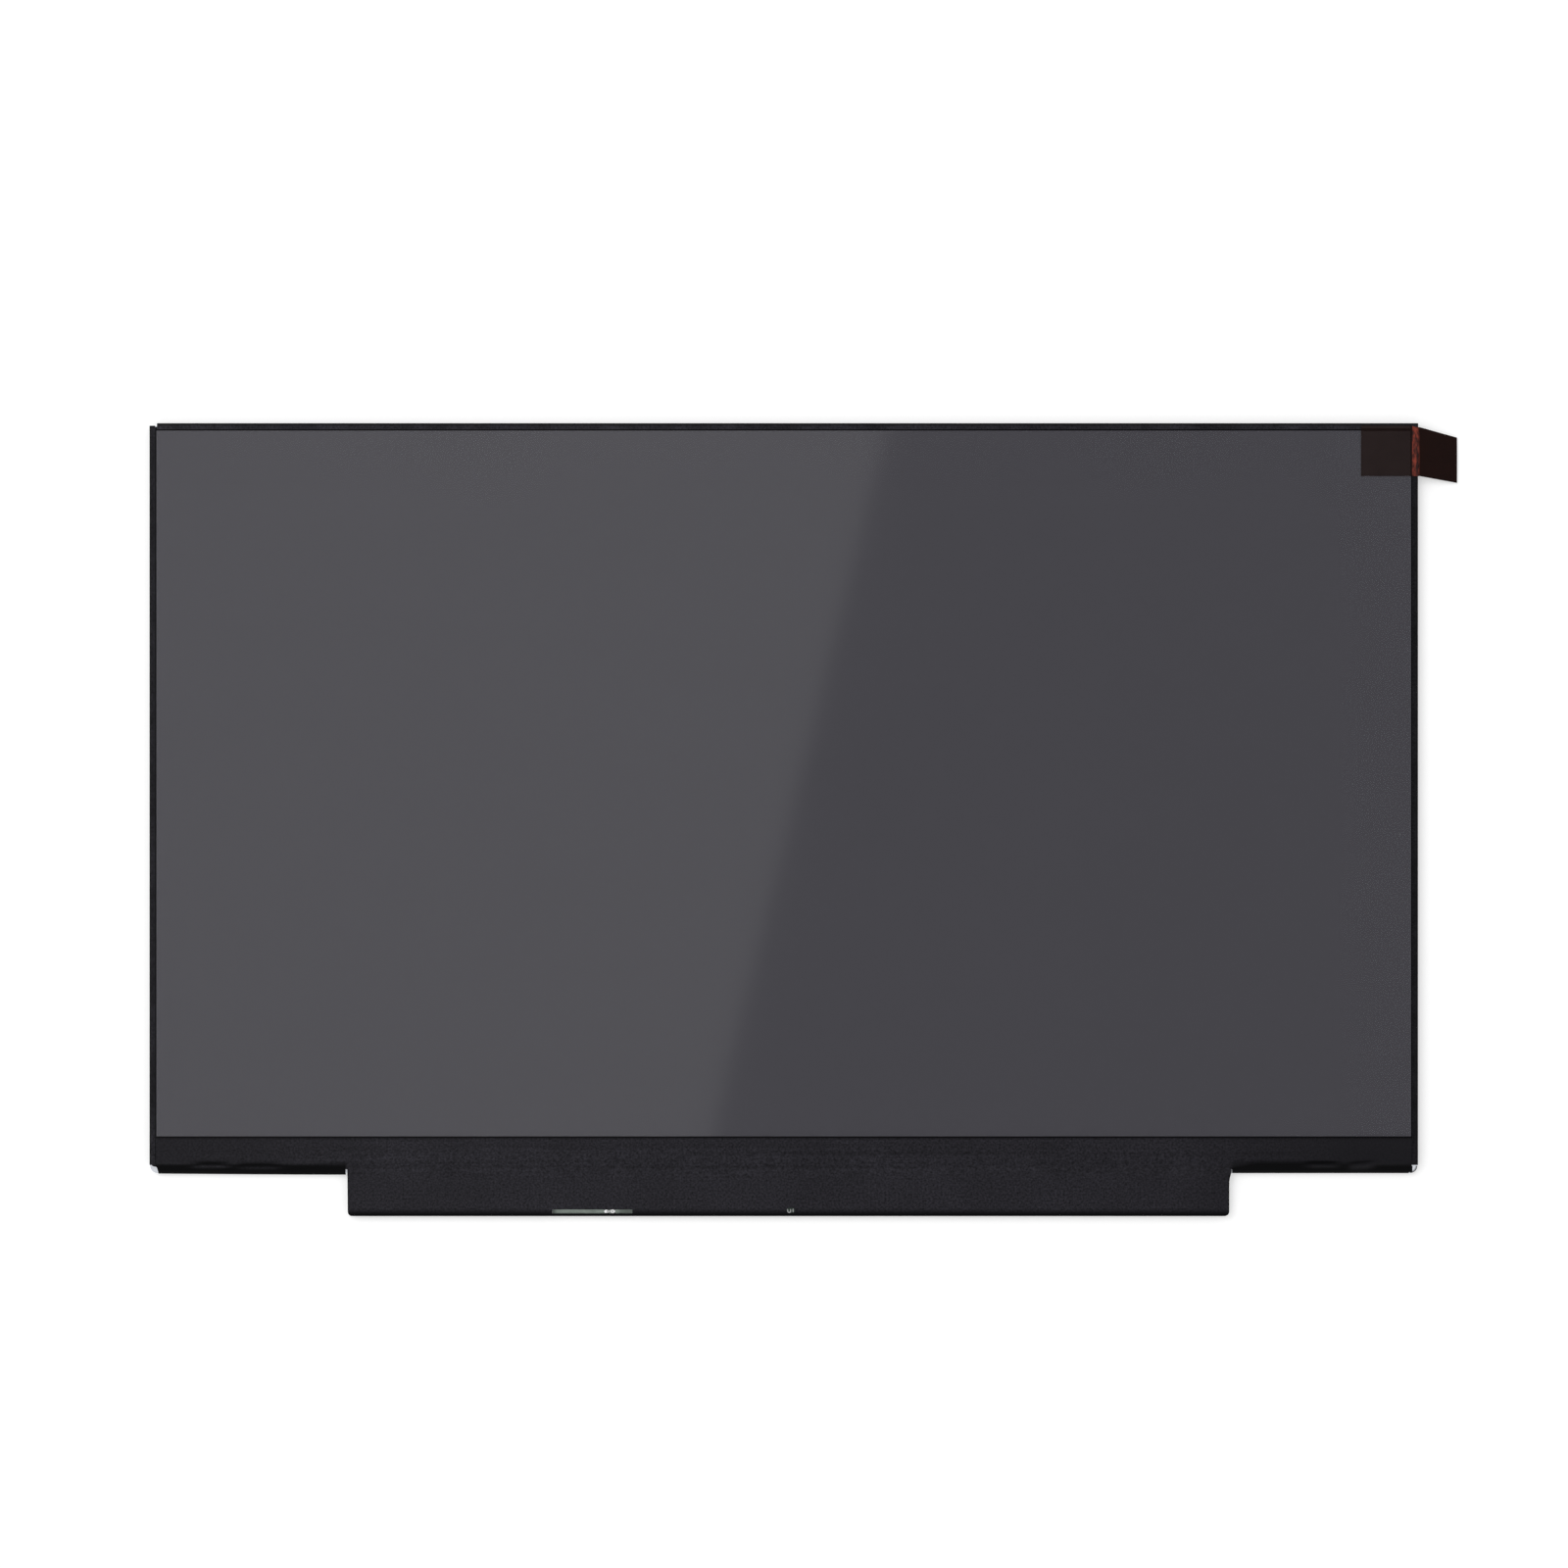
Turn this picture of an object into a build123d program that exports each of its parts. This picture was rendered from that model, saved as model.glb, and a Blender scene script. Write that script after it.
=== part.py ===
# Laptop screen panel: a slim liquid crystal module whose control board lies flat below the screen.
# Millimetres. X runs to the right of the screen, Y to its top, Z out of its front. Z = 0 is the rear plane.
import os

from build123d import *

os.makedirs("parts", exist_ok=True)

# Cell: the two glasses, their polarizers and the peel-off film
screen_width = 312.2
screen_height = 175.6
glass_margin_side = 0.705
glass_margin_top = 0.8
glass_margin_bottom = 0.9
bonding_ledge = 4.4
array_sheet = 0.3
filter_sheet = 0.3
front_polarizer_sheet = 0.18
rear_polarizer_sheet = 0.15
rear_polarizer_inset = 0.4
protective_sheet = 0.06
protective_inset = 0.1

# Backlight sheets, from the rear
reflector_sheet = 0.2
guide_sheet = 0.7
lower_diffuser_sheet = 0.12
prism_sheet = 0.13
upper_diffuser_sheet = 0.12
sheet_headroom = 0.05
sheet_gap = 0.2
rim_tape_sheet = 0.05
rim_tape_inset = 0.2
rim_tape_lap = 0.55
guide_gap = 0.3
ear_length = 6.0
ear_reach = 0.7
ear_from_top = 32.0
ear_pitch = 100.0

# Lamp row under the lower lip of the frame
lamp_pitch = 7.0
lamp_width = 3.0
lamp_depth = 0.65
lamp_height = 0.6
lamp_gap = 0.1
lamp_headroom = 0.18
lamp_window_border = 0.12
lamp_window_depth = 0.08
flex_sheet = 0.12
flex_tape_sheet = 0.05
flex_under_guide = 0.8
flex_tail_width = 10.6
flex_tail_from_end = 49.55
flex_tail_on_board = 2.6
flex_bend = 0.3

# Moulded frame
frame_wall = 0.5
frame_gap = 0.1
cell_gap = 0.2
frame_ledge_side = 1.5
frame_ledge_top = 0.9
frame_below_cell_front = 0.1
rail_reach = 3.6
rail_block = 1.4
rail_lap = 1.1
rail_chamfer = 0.6
barb_length = 4.6
barb_height = 0.5
barb_reach = 0.15
barb_pitch_side = 60.0
barb_count_side = 3
barb_pitch_top = 64.0
barb_count_top = 4

# Pressed metal back cover
cover_sheet = 0.25
cover_step = 0.1
cover_step_width = 2.2
cover_step_top = 1.6
cover_corner = 1.8
cover_bend = 0.2
low_flange = 0.6
corner_ear = 2.0
corner_ear_height = 1.3
inner_ear_width = 1.2
inner_ear_depth = 0.9
inner_ear_height = 1.25
corner_notch_x = 1.9
corner_notch_y = 0.65
part_clearance = 0.1

# Black tapes
tape_sheet = 0.05
tape_bend = 0.4
tape_screen_gap = 0.35
tape_rear_lap = 2.0
tape_rear_lap_top = 1.4
tape_slack = 0.03
fold_slack = 0.25
tape_overhang = 0.3
tape_corner = 1.2
drape_length = 2.7
drape_drop = 0.44
drape_end = 1.0
drape_bend = 0.7
head_bend = 0.2
tape_ramp = 0.65
inner_slit = 0.9

# Control board, flat below the body
board_gap = 0.25
board_length = 219.1
board_height = 10.18
board_shift = 1.07
board_sheet = 0.5
board_lift = 1.4
board_corner = 1.1

# Driver films and chips
driver_count = 4
driver_from_end = 5.55
driver_film_width = 40.0
driver_film_sheet = 0.06
driver_film_bond = 1.5
driver_film_flat = 2.0
driver_film_landing = 0.9
driver_chip_length = 24.0
driver_chip_width = 1.4
driver_chip_sheet = 0.4
driver_chip_gap = 0.35

# Cable socket at the board's lower edge
socket_shift = -48.72
socket_width = 19.9
socket_depth = 4.6
socket_height = 1.1
socket_side_gap = 0.3
shell_sheet = 0.12
shell_depth = 3.1
shell_dot = 1.2
shell_dot_height = 0.15
shell_dot_chamfer = 0.1
shell_dot_pitch = 1.7
shell_dot_shift = 4.25
shell_leg_width = 0.8
tongue_sheet = 0.3
tongue_side_gap = 1.4
tongue_setback = 0.4
contact_count = 30
contact_pitch = 0.5
contact_width = 0.2
contact_sheet = 0.1
contact_foot = 0.5
window_height = 1.35
window_rim = 0.35

# Small parts on the board
pad_radius = 0.45
pad_height = 0.06
pad_shift = 0.21
pad_from_edge = 1.2
pad_clearance = 0.2
chip_chamfer = 0.08
timing_chip_side = 7.0
timing_chip_height = 0.85
power_chip_side = 5.0
power_chip_height = 0.8
lamp_chip_side = 4.0
lamp_chip_height = 0.75
memory_chip_length = 3.0
memory_chip_width = 2.0
memory_chip_height = 0.6
power_inductor_side = 4.0
boost_inductor_side = 4.2
inductor_height = 1.1
diode_length = 2.6
diode_width = 1.6
diode_height = 1.0
capacitor_length = 1.0
capacitor_width = 0.5
capacitor_height = 0.5
capacitor_columns = 3
capacitor_lines = 4
bulk_length = 1.6
bulk_width = 0.8
bulk_height = 0.8
bulk_columns = 2
bulk_lines = 2
resistor_length = 1.0
resistor_width = 0.5
resistor_height = 0.35
resistor_columns = 3
resistor_lines = 3
parts_rise = 4.6
part_gap = 2.6
row_gap = 1.1
line_gap = 0.9

# Ground tapes
ground_tape_width = 14.0
ground_tape_lap = 4.5
ground_tape_on_board = 2.0
ground_tape_from_left = 23.55
ground_tape_from_right = 11.55
slope_run = 1.8

# Pull tab, stuck on the film and creased over the right edge
pull_sheet = 0.08
pull_inset = 14.45
pull_below_top = 0.61
pull_width = 12.6
pull_bend_out = 0.3
pull_bend_drop = 0.12
flap_reach = 10.0
flap_top_drop = 3.46
flap_width = 11.3
flap_end_lift = 0.4

# Outline across, from the screen outwards
cell_x = screen_width / 2 + glass_margin_side
wall_in_x = cell_x + cell_gap
wall_out_x = wall_in_x + frame_wall
cover_x = wall_out_x + frame_gap + cover_sheet
body_x = cover_x + tape_sheet
ledge_in_x = wall_in_x - frame_ledge_side
guide_x = ledge_in_x - guide_gap
lip_x = screen_width / 2 + tape_screen_gap
step_x = cover_x - cover_step_width

# Outline up and down, the origin midway up the body
top_stack = glass_margin_top + cell_gap + frame_wall + frame_gap + cover_sheet + tape_sheet
bottom_stack = glass_margin_bottom + bonding_ledge + rail_reach + frame_gap + cover_sheet + tape_sheet
body_top = (top_stack + screen_height + bottom_stack) / 2
body_bottom = -body_top
screen_top = body_top - top_stack
screen_bottom = screen_top - screen_height
cell_top = screen_top + glass_margin_top
filter_bottom = screen_bottom - glass_margin_bottom
array_bottom = filter_bottom - bonding_ledge
wall_in_top = cell_top + cell_gap
wall_out_top = wall_in_top + frame_wall
cover_top = body_top - tape_sheet
cover_bottom = -cover_top
rail_out = cover_bottom + cover_sheet + frame_gap
rail_in = rail_out + rail_block
rail_lip_in = array_bottom + rail_lap
ledge_in_top = wall_in_top - frame_ledge_top
guide_top = ledge_in_top - guide_gap
guide_bottom = rail_lip_in + 2 * guide_gap
lamp_count = int((2 * guide_x - lamp_width) / lamp_pitch) + 1
flex_in = guide_bottom + flex_under_guide
flex_out = rail_in + sheet_gap
lip_top = screen_top + tape_screen_gap
lip_bottom = screen_bottom - tape_screen_gap
step_top = cover_top - cover_step_top
corner_reach = corner_ear + tape_sheet + part_clearance

# Levels, from the rear plane forwards
margin_top = cover_step + cover_sheet
guide_z = cover_sheet + reflector_sheet
lower_diffuser_z = guide_z + guide_sheet
lower_prism_z = lower_diffuser_z + lower_diffuser_sheet
upper_prism_z = lower_prism_z + prism_sheet
upper_diffuser_z = upper_prism_z + prism_sheet
ledge_z = upper_diffuser_z + upper_diffuser_sheet + sheet_headroom
rear_polarizer_z = ledge_z + rim_tape_sheet
array_z = rear_polarizer_z + rear_polarizer_sheet
filter_z = array_z + array_sheet
cell_front = filter_z + filter_sheet
screen_front = cell_front + front_polarizer_sheet
film_front = screen_front + protective_sheet
wall_z = cell_front - frame_below_cell_front
flange_z = cell_front - tape_bend
flex_z = cover_sheet + flex_tape_sheet
flex_top = flex_z + flex_sheet
lip_under = flex_top + lamp_height + lamp_headroom
barb_z = (margin_top + ledge_z) / 2
board_front = board_lift + board_sheet
tape_over_films = filter_z + driver_film_sheet + tape_slack
tape_over_board = board_front + driver_film_sheet + tape_slack

# Board and tab places
board_top = cover_bottom - board_gap
board_bottom = board_top - board_height
board_left = board_shift - board_length / 2
board_right = board_shift + board_length / 2
tab_half = board_length / 2 + tape_overhang
tab_left = board_shift - tab_half
tab_right = board_shift + tab_half
tab_bottom = board_bottom - fold_slack - tape_sheet
driver_pitch = (board_length - driver_film_width - 2 * driver_from_end) / (driver_count - 1)
film_slope_start = array_bottom - driver_film_flat
film_slope_end = board_top - driver_film_landing
flex_tail_x = board_right - flex_tail_from_end
ground_places = (board_left + ground_tape_from_left, board_right - ground_tape_from_right)
socket_x = board_shift + socket_shift
socket_back = board_bottom + socket_depth
socket_z = board_lift - socket_height / 2
shell_back = board_bottom + shell_depth
ear_places = ((-1, 0), (-1, 1), (1, 0))
overcut = 5.0


def keep(piece, label):
    piece.part.label = label
    export_step(piece.part, f"parts/{label}.step")


def plain_sheet(label, half_x, top, bottom, rear, thickness):
    with BuildPart() as sheet:
        with BuildSketch(Plane.XY.offset(rear)):
            with Locations((0, (top + bottom) / 2)):
                Rectangle(2 * half_x, top - bottom)
        extrude(amount=thickness)
    keep(sheet, label)


def optic_sheet(label, rear, thickness):
    with BuildPart() as sheet:
        with BuildSketch(Plane.XY.offset(rear)):
            with Locations((0, (guide_top + guide_bottom) / 2)):
                Rectangle(2 * guide_x, guide_top - guide_bottom)
            for side, row in ear_places:
                with Locations((side * guide_x, guide_top - ear_from_top - row * ear_pitch)):
                    Rectangle(2 * ear_reach, ear_length)
        extrude(amount=thickness)
    keep(sheet, label)


def bent_strip(path, bends, thickness, middle, width):
    # A strip whose rear face follows the path of (Y, Z) points
    with BuildSketch(Plane.YZ.offset(middle - width / 2)) as profile:
        with BuildLine():
            FilletPolyline(*path, radius=bends)
            offset(amount=thickness, side=Side.RIGHT)
        make_face()
    extrude(profile.sketch, amount=width)


# Optical sheets of the backlight
plain_sheet("reflector", guide_x, guide_top, flex_in + sheet_gap, cover_sheet, reflector_sheet)
optic_sheet("light_guide", guide_z, guide_sheet)
optic_sheet("lower_diffuser", lower_diffuser_z, lower_diffuser_sheet)
optic_sheet("lower_prism_sheet", lower_prism_z, prism_sheet)
optic_sheet("upper_prism_sheet", upper_prism_z, prism_sheet)
optic_sheet("upper_diffuser", upper_diffuser_z, upper_diffuser_sheet)

# Cell
plain_sheet("rear_polarizer", cell_x - rear_polarizer_inset, cell_top - rear_polarizer_inset,
            filter_bottom - rear_polarizer_inset, rear_polarizer_z, rear_polarizer_sheet)
plain_sheet("array_glass", cell_x, cell_top, array_bottom, array_z, array_sheet)
plain_sheet("colour_filter_glass", cell_x, cell_top, filter_bottom, filter_z, filter_sheet)
plain_sheet("front_polarizer", screen_width / 2, screen_top, screen_bottom,
            cell_front, front_polarizer_sheet)
plain_sheet("protective_film", screen_width / 2 - protective_inset, screen_top - protective_inset,
            screen_bottom + protective_inset, screen_front, protective_sheet)

# Rim tape between the frame's ledge and the cell
with BuildPart() as rim_tape:
    with BuildSketch(Plane.XY.offset(ledge_z)):
        rim_x = cell_x - rim_tape_inset
        rim_top = cell_top - rim_tape_inset
        rim_bottom = array_bottom + rim_tape_inset
        with Locations((0, (rim_top + rim_bottom) / 2)):
            Rectangle(2 * rim_x, rim_top - rim_bottom)
        hole_top = ledge_in_top - rim_tape_lap
        with Locations((0, (hole_top + screen_bottom) / 2)):
            Rectangle(2 * (ledge_in_x - rim_tape_lap), hole_top - screen_bottom, mode=Mode.SUBTRACT)
    extrude(amount=rim_tape_sheet)
keep(rim_tape, "rim_tape")

# Lamp flex with its tail to the board, its bonding tape and the lamp row
with BuildPart() as led_flex:
    with BuildSketch(Plane.XY.offset(flex_z)):
        with Locations((0, (flex_in + flex_out) / 2)):
            Rectangle(2 * (guide_x - guide_gap), flex_in - flex_out)
    extrude(amount=flex_sheet)
    tail_path = [(flex_out, flex_z), (cover_bottom + sheet_gap, flex_z),
                 (board_top - slope_run, board_lift - flex_sheet),
                 (board_top - slope_run - flex_tail_on_board, board_lift - flex_sheet)]
    bent_strip(tail_path, flex_bend, flex_sheet, flex_tail_x, flex_tail_width)
keep(led_flex, "led_flex")

plain_sheet("led_flex_tape", guide_x - 2 * guide_gap, flex_in - part_clearance, flex_out + part_clearance,
            cover_sheet, flex_tape_sheet)

with BuildPart() as backlight_lamps:
    lamp_back = guide_bottom - lamp_gap - lamp_depth
    lamp_front = guide_bottom - lamp_gap
    with BuildSketch(Plane.XY.offset(flex_top)):
        with Locations((0, lamp_back + lamp_depth / 2)):
            with GridLocations(lamp_pitch, lamp_depth, lamp_count, 1):
                Rectangle(lamp_width, lamp_depth)
    extrude(amount=lamp_height)
    with BuildSketch(Plane.XZ.offset(-lamp_front)):
        with Locations((0, flex_top + lamp_height / 2)):
            with GridLocations(lamp_pitch, lamp_height, lamp_count, 1):
                Rectangle(lamp_width - 2 * lamp_window_border, lamp_height - 2 * lamp_window_border)
    extrude(amount=lamp_window_depth, mode=Mode.SUBTRACT)
keep(backlight_lamps, "backlight_lamps")

# Moulded frame: ledges, walls on three sides, a lower rail with its lip over the lamps, snap barbs
with BuildPart() as mould_frame:
    with BuildSketch(Plane.XY.offset(margin_top)):
        with Locations((0, (wall_out_top + rail_out) / 2)):
            Rectangle(2 * wall_out_x, wall_out_top - rail_out)
        with Locations((0, (ledge_in_top + rail_in) / 2)):
            Rectangle(2 * ledge_in_x, ledge_in_top - rail_in, mode=Mode.SUBTRACT)
    extrude(amount=ledge_z - margin_top)
    with BuildSketch(Plane.XY.offset(lip_under)):
        with Locations((0, (rail_lip_in + rail_in) / 2)):
            Rectangle(2 * ledge_in_x, rail_lip_in - rail_in)
    extrude(amount=ledge_z - lip_under)
    chamfer(mould_frame.edges().filter_by(Axis.X).group_by(Axis.Y)[0].group_by(Axis.Z)[-1], rail_chamfer)
    with BuildSketch(Plane.XY.offset(ledge_z)):
        with Locations((0, (wall_out_top + rail_in) / 2)):
            Rectangle(2 * wall_out_x, wall_out_top - rail_in)
        with Locations((0, (wall_in_top + rail_in - overcut) / 2)):
            Rectangle(2 * wall_in_x, wall_in_top - rail_in + overcut, mode=Mode.SUBTRACT)
    extrude(amount=wall_z - ledge_z)
    # Notches for the ears of the optical sheets
    with BuildSketch(Plane.XY.offset(margin_top)):
        for side, row in ear_places:
            with Locations((side * ledge_in_x, guide_top - ear_from_top - row * ear_pitch)):
                Rectangle(2 * ear_reach, ear_length + 2 * part_clearance)
    extrude(amount=ledge_z - margin_top, mode=Mode.SUBTRACT)
    # Passage for the lamp flex tail
    with BuildSketch(Plane.XY.offset(margin_top)):
        with Locations((flex_tail_x, (rail_out + rail_in) / 2)):
            Rectangle(flex_tail_width + 2 * sheet_gap, rail_block + overcut)
    extrude(amount=flex_sheet + sheet_gap, mode=Mode.SUBTRACT)
    # Corners cleared for the cover's ears and its upper left notch
    with BuildSketch(Plane.XY.offset(margin_top)):
        for side in (-1, 1):
            with Locations((side * body_x, body_bottom)):
                Rectangle(2 * (corner_reach + part_clearance), 2 * (corner_reach + part_clearance))
        for side, edge in ((-1, tab_left), (1, tab_right)):
            with Locations((edge + side * (inner_slit - inner_ear_width) / 2, cover_bottom)):
                Rectangle(inner_ear_width + inner_slit, 2 * (inner_ear_depth + part_clearance))
        with Locations((-body_x, wall_in_top + overcut)):
            Rectangle(2 * (corner_notch_x + part_clearance), 2 * overcut)
    extrude(amount=wall_z - margin_top, mode=Mode.SUBTRACT)
    # Snap barbs in the flange windows
    barb_reach_all = frame_gap + barb_reach
    with BuildSketch(Plane.XY.offset(barb_z - barb_height / 2)):
        for side in (-1, 1):
            with Locations((side * (wall_out_x + barb_reach_all / 2), 0)):
                with GridLocations(barb_reach_all, barb_pitch_side, 1, barb_count_side):
                    Rectangle(barb_reach_all, barb_length)
        with Locations((0, wall_out_top + barb_reach_all / 2)):
            with GridLocations(barb_pitch_top, barb_reach_all, barb_count_top, 1):
                Rectangle(barb_length, barb_reach_all)
    extrude(amount=barb_height)
keep(mould_frame, "mould_frame")

# Back cover: a pressed tray, its margin stepped in for the folded tape, its flanges bent forwards
with BuildPart() as back_cover:
    with BuildSketch(Plane.XY.offset(cover_step)) as tray_outline:
        Rectangle(2 * cover_x, 2 * cover_top)
        fillet(tray_outline.vertices().group_by(Axis.Y)[0], cover_corner)
    extrude(amount=flange_z - cover_step)
    tray_rear = back_cover.faces().sort_by(Axis.Z)[0]
    fillet(tray_rear.edges().filter_by(Axis.Y) + tray_rear.edges().group_by(Axis.Y)[-1], cover_bend)
    with BuildSketch(Plane.XY.offset(margin_top)) as tray_hollow:
        Rectangle(2 * (cover_x - cover_sheet), 2 * (cover_top - cover_sheet))
        fillet(tray_hollow.vertices().group_by(Axis.Y)[0], cover_corner - cover_sheet)
    extrude(amount=flange_z - margin_top, mode=Mode.SUBTRACT)
    with BuildSketch():
        with Locations((0, (step_top + cover_bottom) / 2)):
            Rectangle(2 * step_x, step_top - cover_bottom)
    extrude(amount=margin_top)
    with BuildSketch(Plane.XY.offset(cover_sheet)):
        pan_top = step_top - cover_sheet
        pan_bottom = cover_bottom + cover_sheet
        with Locations((0, (pan_top + pan_bottom) / 2)):
            Rectangle(2 * (step_x - cover_sheet), pan_top - pan_bottom)
    extrude(amount=cover_step, mode=Mode.SUBTRACT)
    # Lower flange: cut down at the shoulders, opened along the board
    with BuildSketch(Plane.XY.offset(low_flange)):
        with Locations((0, body_bottom)):
            Rectangle(2 * (body_x - corner_reach), 2 * corner_reach)
    extrude(amount=flange_z - low_flange, mode=Mode.SUBTRACT)
    with BuildSketch(Plane.XY.offset(cover_sheet)):
        with Locations((board_shift, cover_bottom)):
            Rectangle(2 * (tab_half - inner_ear_width / 2), 2 * cover_sheet)
    extrude(amount=low_flange, mode=Mode.SUBTRACT)
    with BuildSketch(Plane.XY.offset(corner_ear_height)):
        with Locations((0, body_bottom)):
            Rectangle(2 * body_x, 2 * corner_reach)
    extrude(amount=flange_z - corner_ear_height, mode=Mode.SUBTRACT)
    # Ears folded over the lower corners
    with BuildSketch(Plane.XY.offset(corner_ear_height - cover_sheet)) as corner_ears:
        for side in (-1, 1):
            with Locations((side * (cover_x - corner_ear / 2), cover_bottom + corner_ear / 2)):
                Rectangle(corner_ear, corner_ear)
        fillet(corner_ears.vertices().group_by(Axis.Y)[0].sort_by(Axis.X)[0], cover_corner)
        fillet(corner_ears.vertices().group_by(Axis.Y)[0].sort_by(Axis.X)[-1], cover_corner)
    extrude(amount=cover_sheet)
    # Small ears beside the board
    ear_shift = (inner_slit - part_clearance) - inner_ear_width / 2
    for side, edge in ((-1, tab_left), (1, tab_right)):
        with BuildSketch(Plane.XY.offset(cover_sheet)):
            with Locations((edge + side * ear_shift, cover_bottom + cover_sheet / 2)):
                Rectangle(inner_ear_width, cover_sheet)
        extrude(amount=inner_ear_height - cover_sheet)
        with BuildSketch(Plane.XY.offset(inner_ear_height - cover_sheet)):
            with Locations((edge + side * ear_shift, cover_bottom + inner_ear_depth / 2)):
                Rectangle(inner_ear_width, inner_ear_depth)
        extrude(amount=cover_sheet)
    # Upper left notch
    with BuildSketch():
        with Locations((-body_x, body_top)):
            Rectangle(2 * corner_notch_x, 2 * corner_notch_y)
    extrude(amount=flange_z, mode=Mode.SUBTRACT)
    # Windows for the snap barbs
    window_length = barb_length + 2 * part_clearance
    with BuildSketch(Plane.XY.offset(barb_z - barb_height / 2 - part_clearance)):
        for side in (-1, 1):
            with Locations((side * cover_x, 0)):
                with GridLocations(cover_sheet, barb_pitch_side, 1, barb_count_side):
                    Rectangle(2 * cover_sheet, window_length)
        with Locations((0, cover_top)):
            with GridLocations(barb_pitch_top, cover_sheet, barb_count_top, 1):
                Rectangle(window_length, 2 * cover_sheet)
    extrude(amount=barb_height + 2 * part_clearance, mode=Mode.SUBTRACT)
    # Coined pockets for the ground tapes
    with BuildSketch():
        for place in ground_places:
            with Locations((place, cover_bottom)):
                Rectangle(ground_tape_width + 2 * part_clearance, 2 * (ground_tape_lap + part_clearance))
    extrude(amount=2 * tape_sheet, mode=Mode.SUBTRACT)
keep(back_cover, "back_cover")


# Edge tapes folded from the glass round the flange to the stepped margin
def side_tape(label, side, top):
    with BuildPart() as tape:
        with BuildSketch(Plane.XZ.offset(-top)):
            with BuildLine():
                FilletPolyline((-lip_x, cell_front), (-cover_x, cell_front), (-cover_x, cover_step),
                               (-cover_x + tape_rear_lap, cover_step), radius=(tape_bend, cover_bend))
                offset(amount=tape_sheet, side=Side.RIGHT)
            make_face()
        extrude(amount=top - body_bottom - corner_reach)
        if side > 0:
            mirror(about=Plane.YZ, mode=Mode.REPLACE)
    keep(tape, label)


side_tape("edge_tape_left", -1, body_top - corner_notch_y)
side_tape("edge_tape_right", 1, lip_top - part_clearance)

with BuildPart() as edge_tape_top:
    with BuildSketch(Plane.YZ.offset(corner_notch_x - body_x)):
        with BuildLine():
            FilletPolyline((lip_top, cell_front), (cover_top, cell_front), (cover_top, cover_step),
                           (cover_top - tape_rear_lap_top, cover_step), radius=(tape_bend, cover_bend))
            offset(amount=tape_sheet, side=Side.LEFT)
        make_face()
    extrude(amount=2 * body_x - corner_notch_x)
    # The rear lap ends short of the side tapes
    with BuildSketch():
        for side in (-1, 1):
            with Locations((side * body_x, body_top - overcut)):
                Rectangle(2 * (tape_rear_lap + part_clearance + tape_sheet), 2 * (overcut - tape_sheet))
    extrude(amount=cover_step, mode=Mode.SUBTRACT)
keep(edge_tape_top, "edge_tape_top")

# Front cover tape: over the lower border and the board, draped over the lower edge at the shoulders
with BuildPart() as front_cover_tape:
    tape_x = lip_x - part_clearance
    drape_knee = tape_over_films - drape_drop
    tape_head = [(lip_bottom, cell_front), (filter_bottom - part_clearance, cell_front),
                 (filter_bottom - tape_ramp, tape_over_films)]
    drape_path = tape_head + [(body_bottom + drape_length, tape_over_films),
                              (cover_bottom + drape_knee - drape_end, drape_knee),
                              (cover_bottom, drape_end), (cover_bottom, cover_step)]
    drape_bends = (head_bend, head_bend, drape_bend, drape_bend, drape_bend)
    for start, end in ((-tape_x, tab_left), (tab_right, tape_x)):
        bent_strip(drape_path, drape_bends, tape_sheet, (start + end) / 2, end - start)
    tab_path = tape_head + [(film_slope_start - part_clearance, tape_over_films),
                            (film_slope_end - part_clearance, tape_over_board),
                            (board_bottom - fold_slack, tape_over_board),
                            (board_bottom - fold_slack, board_lift)]
    tab_bends = (head_bend, head_bend, tape_bend, tape_bend, tape_bend)
    bent_strip(tab_path, tab_bends, tape_sheet, board_shift, 2 * tab_half)
    # Lower corners open over the cover's ears, slits beside the board
    with BuildSketch():
        for side in (-1, 1):
            with Locations((side * body_x, body_bottom)):
                Rectangle(2 * corner_reach, 2 * corner_reach)
        for side, edge in ((-1, tab_left), (1, tab_right)):
            with Locations((edge + side * inner_slit / 2, cover_bottom)):
                Rectangle(inner_slit, 2 * (inner_ear_depth + part_clearance))
    extrude(amount=film_front, mode=Mode.SUBTRACT)
    # Rounded lower corners of the tab
    with BuildSketch():
        for side, edge in ((-1, tab_left), (1, tab_right)):
            with Locations((edge, tab_bottom)):
                Rectangle(2 * tape_corner, 2 * tape_corner)
            with Locations((edge - side * tape_corner, tab_bottom + tape_corner)):
                Circle(tape_corner, mode=Mode.SUBTRACT)
    extrude(amount=film_front, mode=Mode.SUBTRACT)
    # Window over the socket and hole over the test pad
    with BuildSketch(Plane.XY.offset(board_lift + board_sheet / 2)):
        with Locations((socket_x, tab_bottom + window_rim + window_height / 2)):
            Rectangle(socket_width, window_height)
        with Locations((board_shift + pad_shift, board_bottom + pad_from_edge)):
            Circle(pad_radius + pad_clearance)
    extrude(amount=film_front, mode=Mode.SUBTRACT)
keep(front_cover_tape, "front_cover_tape")

# Control board
with BuildPart() as control_board:
    with BuildSketch(Plane.XY.offset(board_lift)) as board_outline:
        with Locations((board_shift, (board_top + board_bottom) / 2)):
            Rectangle(board_length, board_height)
        fillet(board_outline.vertices().group_by(Axis.Y)[0], board_corner)
        with Locations((socket_x, board_bottom)):
            mouth_width = socket_width + 2 * socket_side_gap
            Rectangle(mouth_width, 2 * (window_height + window_rim), mode=Mode.SUBTRACT)
    extrude(amount=board_sheet)
keep(control_board, "control_board")

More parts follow.
